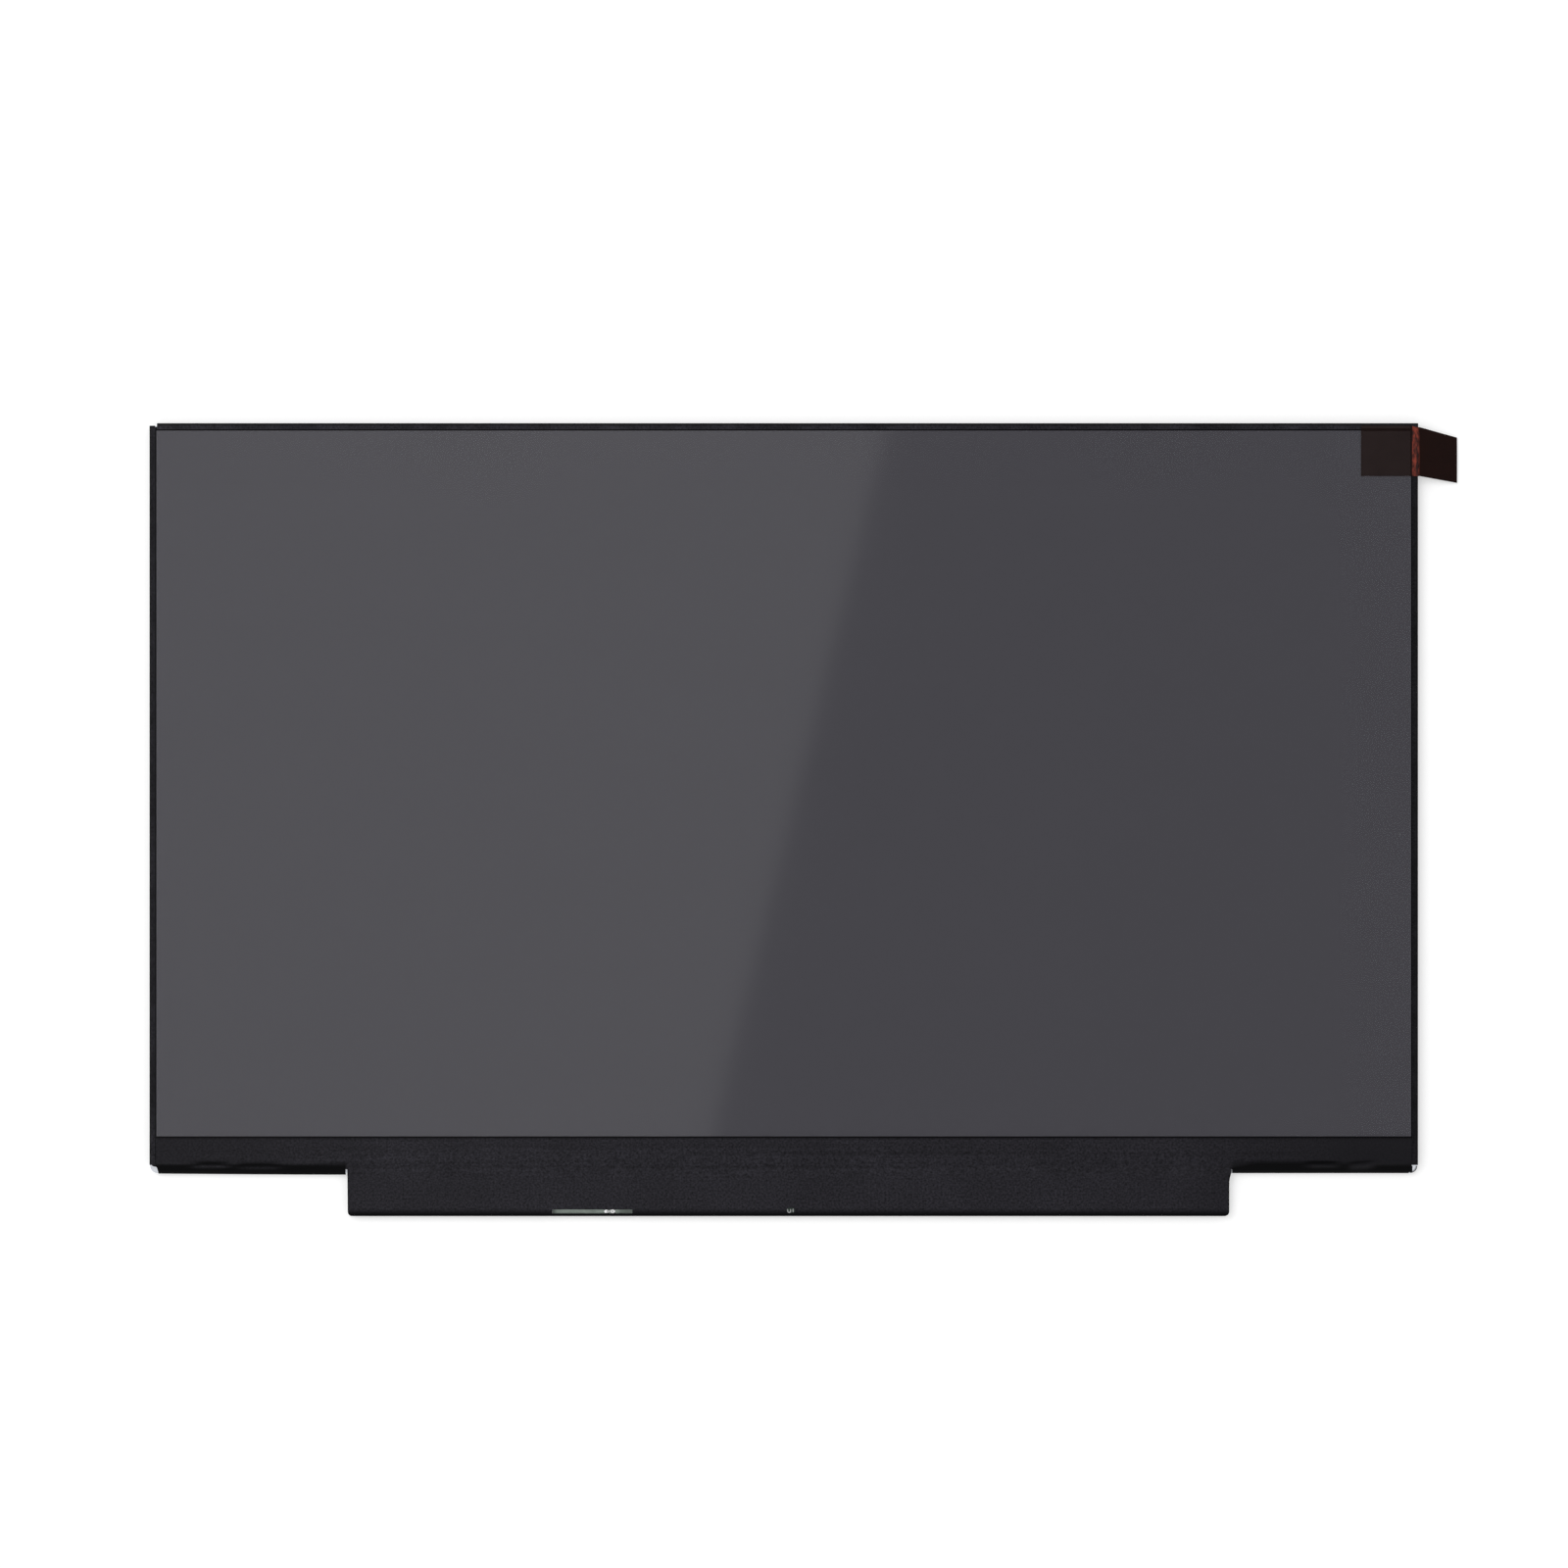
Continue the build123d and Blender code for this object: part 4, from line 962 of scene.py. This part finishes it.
def round_corners(piece):
    """Rounds the tongue and the tab's lower corners, slants the tab's left edge and flares its right."""
    tab_fold = TAB_BOTTOM + TAPE_SHEET + TAB_CORNER

    def move(point):
        point = rounded(point, (TAB_LEFT + TAB_CORNER, tab_fold), -1, TAB_CORNER)
        point = rounded(point, (TAB_RIGHT - TAB_CORNER, tab_fold), 1, TAB_CORNER)
        out = (-TAPE_HIGH.x - point.x) / sum(TONGUE_STEPS)
        if out > NEAR and point.y < TONGUE_TOP - NEAR:
            point.y = TONGUE_TOP + (point.y - TONGUE_TOP) * math.sqrt(TONGUE_ROUND - out * out)
        if out > NEAR and point.y < TONGUE_TOP + NEAR:
            point.z -= TONGUE_SAG * out ** 1.5
        if out > -NEAR and point.y < TONGUE_BOTTOM - NEAR:
            point.x = -SLANT_START + SLANT * (TONGUE_BOTTOM - point.y)
        if TAB_LEFT - NEAR < point.x < TAB_LEFT + TAB_CORNER and point.y < SLIT_TOP:
            lower = min(1.0, (SLIT_TOP - point.y) / (SLIT_TOP - TAB_BOTTOM))
            beside = 1 - (point.x - TAB_LEFT) / TAB_CORNER
            point.x += (TAB_SHIFT + TAB_SLANT * lower) * beside
        inner = point.x - TAB_RIGHT + FLARE_WIDTH
        if 0 < inner < FLARE_WIDTH + NEAR and FLARE_BOTTOM < point.y < FLARE_TOP:
            rise = min(1.0, (point.y - FLARE_BOTTOM) / FLARE_RISE)
            point.x += FLARE * rise ** 2 * inner / FLARE_WIDTH
        return point
    shape_points(piece, move)


def thicken_cover_tape(piece):
    """Gives the sheet its thickness, and cuts the hole over the test pad."""
    apply_modifier(piece, "SOLIDIFY", thickness=TAPE_SHEET, offset=1.0)
    face_outwards()
    low, high = box_mm("test_pad")
    hole = begin("pad_hole", bpy.ops.mesh.primitive_cylinder_add, vertices=28, radius=PAD_HOLE, depth=1.0,
                 location=((low.x + high.x) / 2, (low.y + high.y) / 2, BOARD_TOP))
    pick_points(hole, lambda point: point.x > NEAR)
    bpy.ops.transform.translate(value=(PAD_SLOT, 0, 0))
    take_in_hand(piece)
    apply_modifier(piece, "BOOLEAN", operation="DIFFERENCE", object=hole, solver="EXACT")
    bpy.data.objects.remove(hole)


class PANEL_OT_pull_tab(bpy.types.Operator):
    """Models the red-brown pull tab: stuck on the film, creased over the edge, its flap free"""
    bl_idname = "panel.pull_tab"
    bl_label = "Pull tab"

    def execute(self, context):
        settings = context.scene.panel_pull_tab
        piece = draw_pull_tab(settings.sheet / MM)
        seat(piece, pull_tab_finish(settings), "pull_film", "pull_tab")
        return {"FINISHED"}


# Side view of the pull tab: across, and height of its rear face
PULL_PATH = ((143.65, 2.74), (146.5, 2.74), (149.6, 2.74), (152.7, 2.74), (155.3, 2.74), (156.2, 2.738),
             (156.7, 2.725), (157.2, 2.70), (157.75, 2.655), (158.3, 2.58), (159.0, 2.44), (160.0, 2.20),
             (161.2, 1.89), (162.6, 1.54), (164.0, 1.20), (165.4, 0.88), (166.7, 0.61), (167.4, 0.48),
             (167.875, 0.40))
PULL_TOP, PULL_BOTTOM = 92.79, 80.19
PULL_CUTS = 17
FLAP_START, FLAP_END = 158.205, 167.905
FLAP_TOP, FLAP_BOTTOM = 89.94, 78.64
# How much the film narrows past the screen, how far the flap is cupped and how crooked the crease runs
NARROWED = 0.4
FLAP_CUP = 0.24
CROOKED, CROOKED_TURNS, CROOKED_RISE = 0.02, 9.0, 4


def draw_pull_tab(sheet):
    """An edge drawn out along the film, over the crease and down the skewed flap."""
    (start, level), (next_across, _) = PULL_PATH[:2]
    piece = begin_sheet("pull_film", (start, PULL_BOTTOM), (next_across, PULL_TOP), level)
    pick_edges(piece, lambda a, b: abs(a.y - b.y) > NEAR)
    bpy.ops.mesh.subdivide(number_cuts=PULL_CUTS)
    pick_edges(piece, lambda a, b: min(a.x, b.x) > next_across - NEAR)
    draw_out([(b[0] - a[0], 0, b[1] - a[1]) for a, b in zip(PULL_PATH[1:], PULL_PATH[2:])])

    def skew(point):
        share = max(0.0, (point.x - FLAP_START) / (FLAP_END - FLAP_START))
        along = (point.y - PULL_BOTTOM) / (PULL_TOP - PULL_BOTTOM)
        narrowed = NARROWED * clamp(point.x - SCREEN_HIGH.x)
        top = PULL_TOP - narrowed + (FLAP_TOP - PULL_TOP + NARROWED) * share
        bottom = PULL_BOTTOM + (FLAP_BOTTOM - PULL_BOTTOM) * share
        point.y = bottom + (top - bottom) * along
        point.z += FLAP_CUP * share * (1 - share) * math.sin(along * math.pi)
        if point.x > SCREEN_HIGH.x:
            point.z -= CROOKED * math.sin(along * CROOKED_TURNS) * min(1.0, share * CROOKED_RISE)
        return point
    shape_points(piece, skew)
    apply_modifier(piece, "SOLIDIFY", thickness=sheet, offset=1.0)
    face_outwards()
    return piece


class PANEL_OT_bright_points(bpy.types.Operator):
    """Models the two solder spots on the socket shell and the hooked test pad"""
    bl_idname = "panel.bright_points"
    bl_label = "Solder spots and test pad"

    def execute(self, context):
        bright = tuple(context.scene.panel_metal.solder_colour)
        solder = metal_finish("bright_solder", bright, (400.0, 400.0, 400.0), roughness=0.22, dull=0.15)
        seat(draw_solder_spots(), solder, "shell_metal")
        grey = shade(bright, 0.42)
        tinned = metal_finish("tinned_pad", grey, (500.0, 500.0, 500.0), roughness=0.3, dull=0.2)
        seat(draw_test_pad(), tinned, "contact_metal", "test_pad")
        return {"FINISHED"}


# Solder spots on the socket shell: a filled one and one with a hollow
SPOT_FILLED = (-44.1, -102.92)
SPOT_HOLLOW = (-42.6, -102.88)
SPOT_RADIUS = 0.66
SPOT_SUNK, SPOT_FLATNESS = 0.02, 0.18
RING_TUBE, RING_FLATNESS = 0.27, 0.35


def draw_solder_spots():
    """A flattened dome and a low ring, both cut level where they sit on the shell."""
    seat_level = box_mm("socket_shell")[1].z - SPOT_SUNK
    filled, hollow = (*SPOT_FILLED, seat_level), (*SPOT_HOLLOW, seat_level)
    piece = begin("solder_spots", bpy.ops.mesh.primitive_uv_sphere_add, segments=28, ring_count=14,
                  radius=SPOT_RADIUS, location=filled)
    pick_all()
    bpy.ops.transform.resize(value=(1, 1, SPOT_FLATNESS), center_override=filled)
    settle()
    bpy.ops.object.mode_set(mode="EDIT")
    bpy.ops.mesh.primitive_torus_add(major_segments=32, minor_segments=14, minor_radius=RING_TUBE,
                                     major_radius=SPOT_RADIUS - RING_TUBE, location=hollow)
    bpy.ops.transform.resize(value=(1, 1, RING_FLATNESS), center_override=hollow)
    pick_all()
    bpy.ops.mesh.bisect(plane_co=(0, 0, seat_level), plane_no=(0, 0, -1), clear_outer=True, use_fill=True,
                        threshold=CUT_NEAR)
    face_outwards()
    return piece


# The hook lies a little off the pad's middle, and a short bar lies to its right
HOOK_OFF = (0.08, -0.18)
HOOK_RADIUS, HOOK_TUBE = 0.36, 0.13
HOOK_LEGS = (-0.05, 0.45, 0)
BAR_OFF = (0.95, 0.15)
BAR_RADIUS, BAR_LENGTH = 0.14, 3.2
HOOK_FLATNESS = 0.45


def draw_test_pad():
    """A hook of half a ring with two straight legs, and a short bar beside it."""
    low, high = box_mm("test_pad")
    middle = ((low.x + high.x) / 2 + HOOK_OFF[0], (low.y + high.y) / 2 + HOOK_OFF[1], high.z)
    bar = (middle[0] + BAR_OFF[0], middle[1] + BAR_OFF[1], middle[2])
    piece = begin("test_pad_hook", bpy.ops.mesh.primitive_torus_add, major_segments=32, minor_segments=12,
                  major_radius=HOOK_RADIUS, minor_radius=HOOK_TUBE, location=middle)
    settle()
    bpy.ops.object.mode_set(mode="EDIT")
    pick_all()
    bpy.ops.mesh.bisect(plane_co=middle, plane_no=(0, 1, 0), clear_outer=True, threshold=CUT_NEAR)
    pick_edges(piece, lambda a, b: min(a.y, b.y) > middle[1] - LEVEL)
    draw_out([HOOK_LEGS])
    bpy.ops.mesh.edge_face_add()
    bpy.ops.mesh.primitive_uv_sphere_add(segments=16, ring_count=10, radius=BAR_RADIUS, location=bar)
    bpy.ops.transform.resize(value=(1, BAR_LENGTH, 1), center_override=bar)
    pick_all()
    bpy.ops.transform.resize(value=(1, 1, HOOK_FLATNESS), center_override=middle)
    face_outwards()
    return piece


class PANEL_OT_cover(bpy.types.Operator):
    """Finishes the bare metal: back cover, socket shell, contacts and ground tapes"""
    bl_idname = "panel.cover"
    bl_label = "Back cover and metal"

    def execute(self, context):
        settings = context.scene.panel_metal
        cover = tuple(settings.cover_colour)
        dress(metal_finish("rolled_cover", cover, (16.0, 1500.0, 1500.0), roughness=0.30, dull=0.25,
                           domed=True), "back_cover")
        dress(shell_finish(tuple(settings.shell_colour)), "socket_shell")
        dress(metal_finish("gold_contact", (0.80, 0.56, 0.22), (700.0, 90.0, 90.0), roughness=0.26, dull=0.2),
              "socket_contacts")
        dress(foil_finish("ground_cloth", (0.62, 0.60, 0.56)), "ground_tape_left", "ground_tape_right")
        return {"FINISHED"}


class PANEL_OT_backlight(bpy.types.Operator):
    """Finishes what lies inside: optical sheets, light guide, lamps and moulded frame"""
    bl_idname = "panel.backlight"
    bl_label = "Backlight"

    def execute(self, context):
        dress(dotted_sheet_finish("prism_and_diffuser", (0.74, 0.75, 0.76), dots_per_metre=1500.0, share=0.3),
              "lower_diffuser", "upper_diffuser", "lower_prism_sheet", "upper_prism_sheet")
        dress(dotted_sheet_finish("light_guide", (0.66, 0.70, 0.70), dots_per_metre=700.0, share=0.18),
              "light_guide")
        dress(plastic_finish("white_reflector", (0.80, 0.80, 0.79), 0.5, 0.4), "reflector")
        dress(plastic_finish("frame_plastic", (0.018, 0.018, 0.019), 0.5, 0.4), "mould_frame")
        dress(traced_finish("amber_flex", (0.34, 0.15, 0.03), (0.46, 0.24, 0.06), 90.0, 0.35), "led_flex")
        dress(lamp_finish(), "backlight_lamps")
        return {"FINISHED"}


DRIVERS = range(1, 5)


class PANEL_OT_board(bpy.types.Operator):
    """Finishes the control board, its driver films, chips and small parts"""
    bl_idname = "panel.board"
    bl_label = "Control board"

    def execute(self, context):
        settings = context.scene.panel_board
        mask = tuple(settings.mask_colour)
        dress(traced_finish("solder_mask", mask, shade(mask, 1.8), 70.0, 0.32), "control_board")
        dress(traced_finish("driver_film", (0.16, 0.075, 0.022), (0.30, 0.17, 0.06), 260.0, 0.34),
              *[f"driver_film_{number}" for number in DRIVERS])
        dress(plastic_finish("chip_body", tuple(settings.chip_colour), 0.5, 0.4), "timing_chip", "power_chip",
              "lamp_driver_chip", "memory_chip", "boost_diode",
              *[f"driver_chip_{number}" for number in DRIVERS])
        dress(plastic_finish("ferrite", (0.055, 0.054, 0.056), 0.55, 0.35, grain_per_metre=5200.0),
              "power_inductor", "boost_inductor")
        dress(plastic_finish("tan_ceramic", (0.36, 0.24, 0.14), 0.45, 0.4), "capacitors", "bulk_capacitors")
        dress(plastic_finish("resistor_glaze", (0.02, 0.02, 0.024), 0.4, 0.5), "resistors")
        dress(plastic_finish("socket_body", (0.62, 0.58, 0.48), 0.45, 0.4), "socket_housing")
        return {"FINISHED"}


class PANEL_OT_stage(bpy.types.Operator):
    """Sets up the floor, the soft light and the camera straight above the screen"""
    bl_idname = "panel.stage"
    bl_label = "Stage"

    def execute(self, context):
        settings = context.scene.panel_stage
        context.scene.view_settings.view_transform = "Standard"
        place_camera(context, settings)
        light_room(context, settings)
        lay_floor(settings)
        hang_cards(settings)
        return {"FINISHED"}


# Where the camera's axis meets the screen
AXIS = Vector((0.06 * MM, 3.57 * MM))
SENSOR = 36.0
KEY_PLACE = Vector((-0.9, 0.7, 1.3))
KEY_SIZE = (1.4, 1.0)
KEY_POWER = 10.0
FLOOR_SIZE, FLOOR_DROP, FLOOR_GLOW = 60.0, 0.00006, 0.40
# Two cards hang above the screen. Their joint shows on its face between these two points
CARD_HEIGHT = 1.60
CARD_SIZE = (0.75, 1.3)
JOINT_UPPER, JOINT_LOWER = Vector((24.9 * MM, 88.9 * MM)), Vector((-17.3 * MM, -81.8 * MM))
CARDS = (("pale_card", -1, 0.95), ("dim_card", 1, 0.28))


def camera_distance(settings):
    return settings.view_width * settings.lens / SENSOR


def place_camera(context, settings):
    camera = bpy.data.cameras.new("above")
    camera.lens = settings.lens
    camera.sensor_width = SENSOR
    holder = bpy.data.objects.new("above", camera)
    holder.location = (AXIS.x, AXIS.y, SCREEN_HIGH.z * MM + camera_distance(settings))
    context.scene.collection.objects.link(holder)
    context.scene.camera = holder


def light_room(context, settings):
    """Soft white room light. The room itself is seen as plain white, also in glossy faces."""
    world = bpy.data.worlds.new("soft_room")
    world.use_nodes = True
    nodes = Nodes(world.node_tree)
    ground = nodes.tree.nodes["Background"].inputs
    ground["Color"].default_value = WHITE
    nodes.give(ground["Strength"], nodes.remap(nodes.looked_at(), *WHOLE, settings.surround, 1.0))
    context.scene.world = world
    key = bpy.data.lights.new("soft_key", "AREA")
    key.shape = "RECTANGLE"
    key.size, key.size_y = KEY_SIZE
    key.energy = KEY_POWER
    holder = bpy.data.objects.new("soft_key", key)
    holder.location = KEY_PLACE
    holder.rotation_euler = KEY_PLACE.to_track_quat("Z", "Y").to_euler()
    holder.visible_glossy = False
    context.scene.collection.objects.link(holder)


def lay_floor(settings):
    floor = begin("floor", bpy.ops.mesh.primitive_plane_add, size=FLOOR_SIZE, location=(0, 0, -FLOOR_DROP))
    settle()
    pale = Finish("pale_floor", Roughness=0.9, Specular_IOR_Level=0.0, Emission_Color=WHITE)
    grain = pale.add("ShaderNodeTexNoise", {"Vector": pale.place, "Scale": 3.0}).outputs[0]
    pale.feed("Base Color", pale.tones(grain, settings.floor_colour, darker=0.995, lighter=1.005))
    pale.feed("Emission Strength", pale.times(pale.looked_at(), FLOOR_GLOW))
    floor.data.materials.append(pale.material)


def hang_cards(settings):
    """Two cards overhead, one pale and one dim, whose slanting joint shows in the screen."""
    reach = 1 + CARD_HEIGHT / camera_distance(settings)
    upper = AXIS + (JOINT_UPPER - AXIS) * reach
    lower = AXIS + (JOINT_LOWER - AXIS) * reach
    slant = (upper.x - lower.x) / (upper.y - lower.y)
    width, depth = CARD_SIZE
    for name, side, level in CARDS:
        low, high = sorted((0.0, side * width))
        card = begin_sheet(name, (low, -depth / 2), (high, depth / 2), SCREEN_HIGH.z * MM + CARD_HEIGHT)

        def slope(point):
            if abs(point.x) < NEAR:
                point.x = lower.x + (point.y - lower.y) * slant
            return point
        shape_points(card, slope)
        settle()
        material = bpy.data.materials.new(name)
        material.use_nodes = True
        nodes = Nodes(material.node_tree)
        nodes.tree.nodes.remove(nodes.tree.nodes["Principled BSDF"])
        glow = nodes.add("ShaderNodeEmission", {"Color": WHITE, "Strength": level}).outputs[0]
        nodes.give(nodes.tree.nodes["Material Output"].inputs["Surface"], glow)
        card.data.materials.append(material)


class PANEL_PT_sidebar(bpy.types.Panel):
    """Lists the steps that dress the panel"""
    bl_idname = "PANEL_PT_sidebar"
    bl_label = "Screen panel"
    bl_space_type = "VIEW_3D"
    bl_region_type = "UI"
    bl_category = "Screen panel"

    def draw(self, context):
        for step in STEPS:
            self.layout.operator(step.bl_idname)
        for label in SETTINGS:
            group = getattr(context.scene, label)
            for key in group.__annotations__:
                self.layout.prop(group, key)


STEPS = (PANEL_OT_effects, PANEL_OT_screen, PANEL_OT_edge_tapes, PANEL_OT_cover_tape, PANEL_OT_pull_tab,
         PANEL_OT_bright_points, PANEL_OT_cover, PANEL_OT_backlight, PANEL_OT_board, PANEL_OT_stage)
SETTINGS = {"panel_screen": ScreenSettings, "panel_tape": TapeSettings, "panel_pull_tab": PullTabSettings,
            "panel_metal": MetalSettings, "panel_board": BoardSettings, "panel_stage": StageSettings}


def register():
    for group in (*SETTINGS.values(), *STEPS, PANEL_PT_sidebar):
        bpy.utils.register_class(group)
    for label, group in SETTINGS.items():
        setattr(bpy.types.Scene, label, PointerProperty(type=group))


def unregister():
    for label in SETTINGS:
        delattr(bpy.types.Scene, label)
    for group in (PANEL_PT_sidebar, *reversed(STEPS), *reversed(list(SETTINGS.values()))):
        bpy.utils.unregister_class(group)


def main():
    register()
    bpy.ops.panel.effects()
    bpy.ops.panel.screen()
    bpy.ops.panel.edge_tapes()
    bpy.ops.panel.cover_tape()
    bpy.ops.panel.pull_tab()
    bpy.ops.panel.bright_points()
    bpy.ops.panel.cover()
    bpy.ops.panel.backlight()
    bpy.ops.panel.board()
    bpy.ops.panel.stage()


if __name__ == "__main__":
    main()
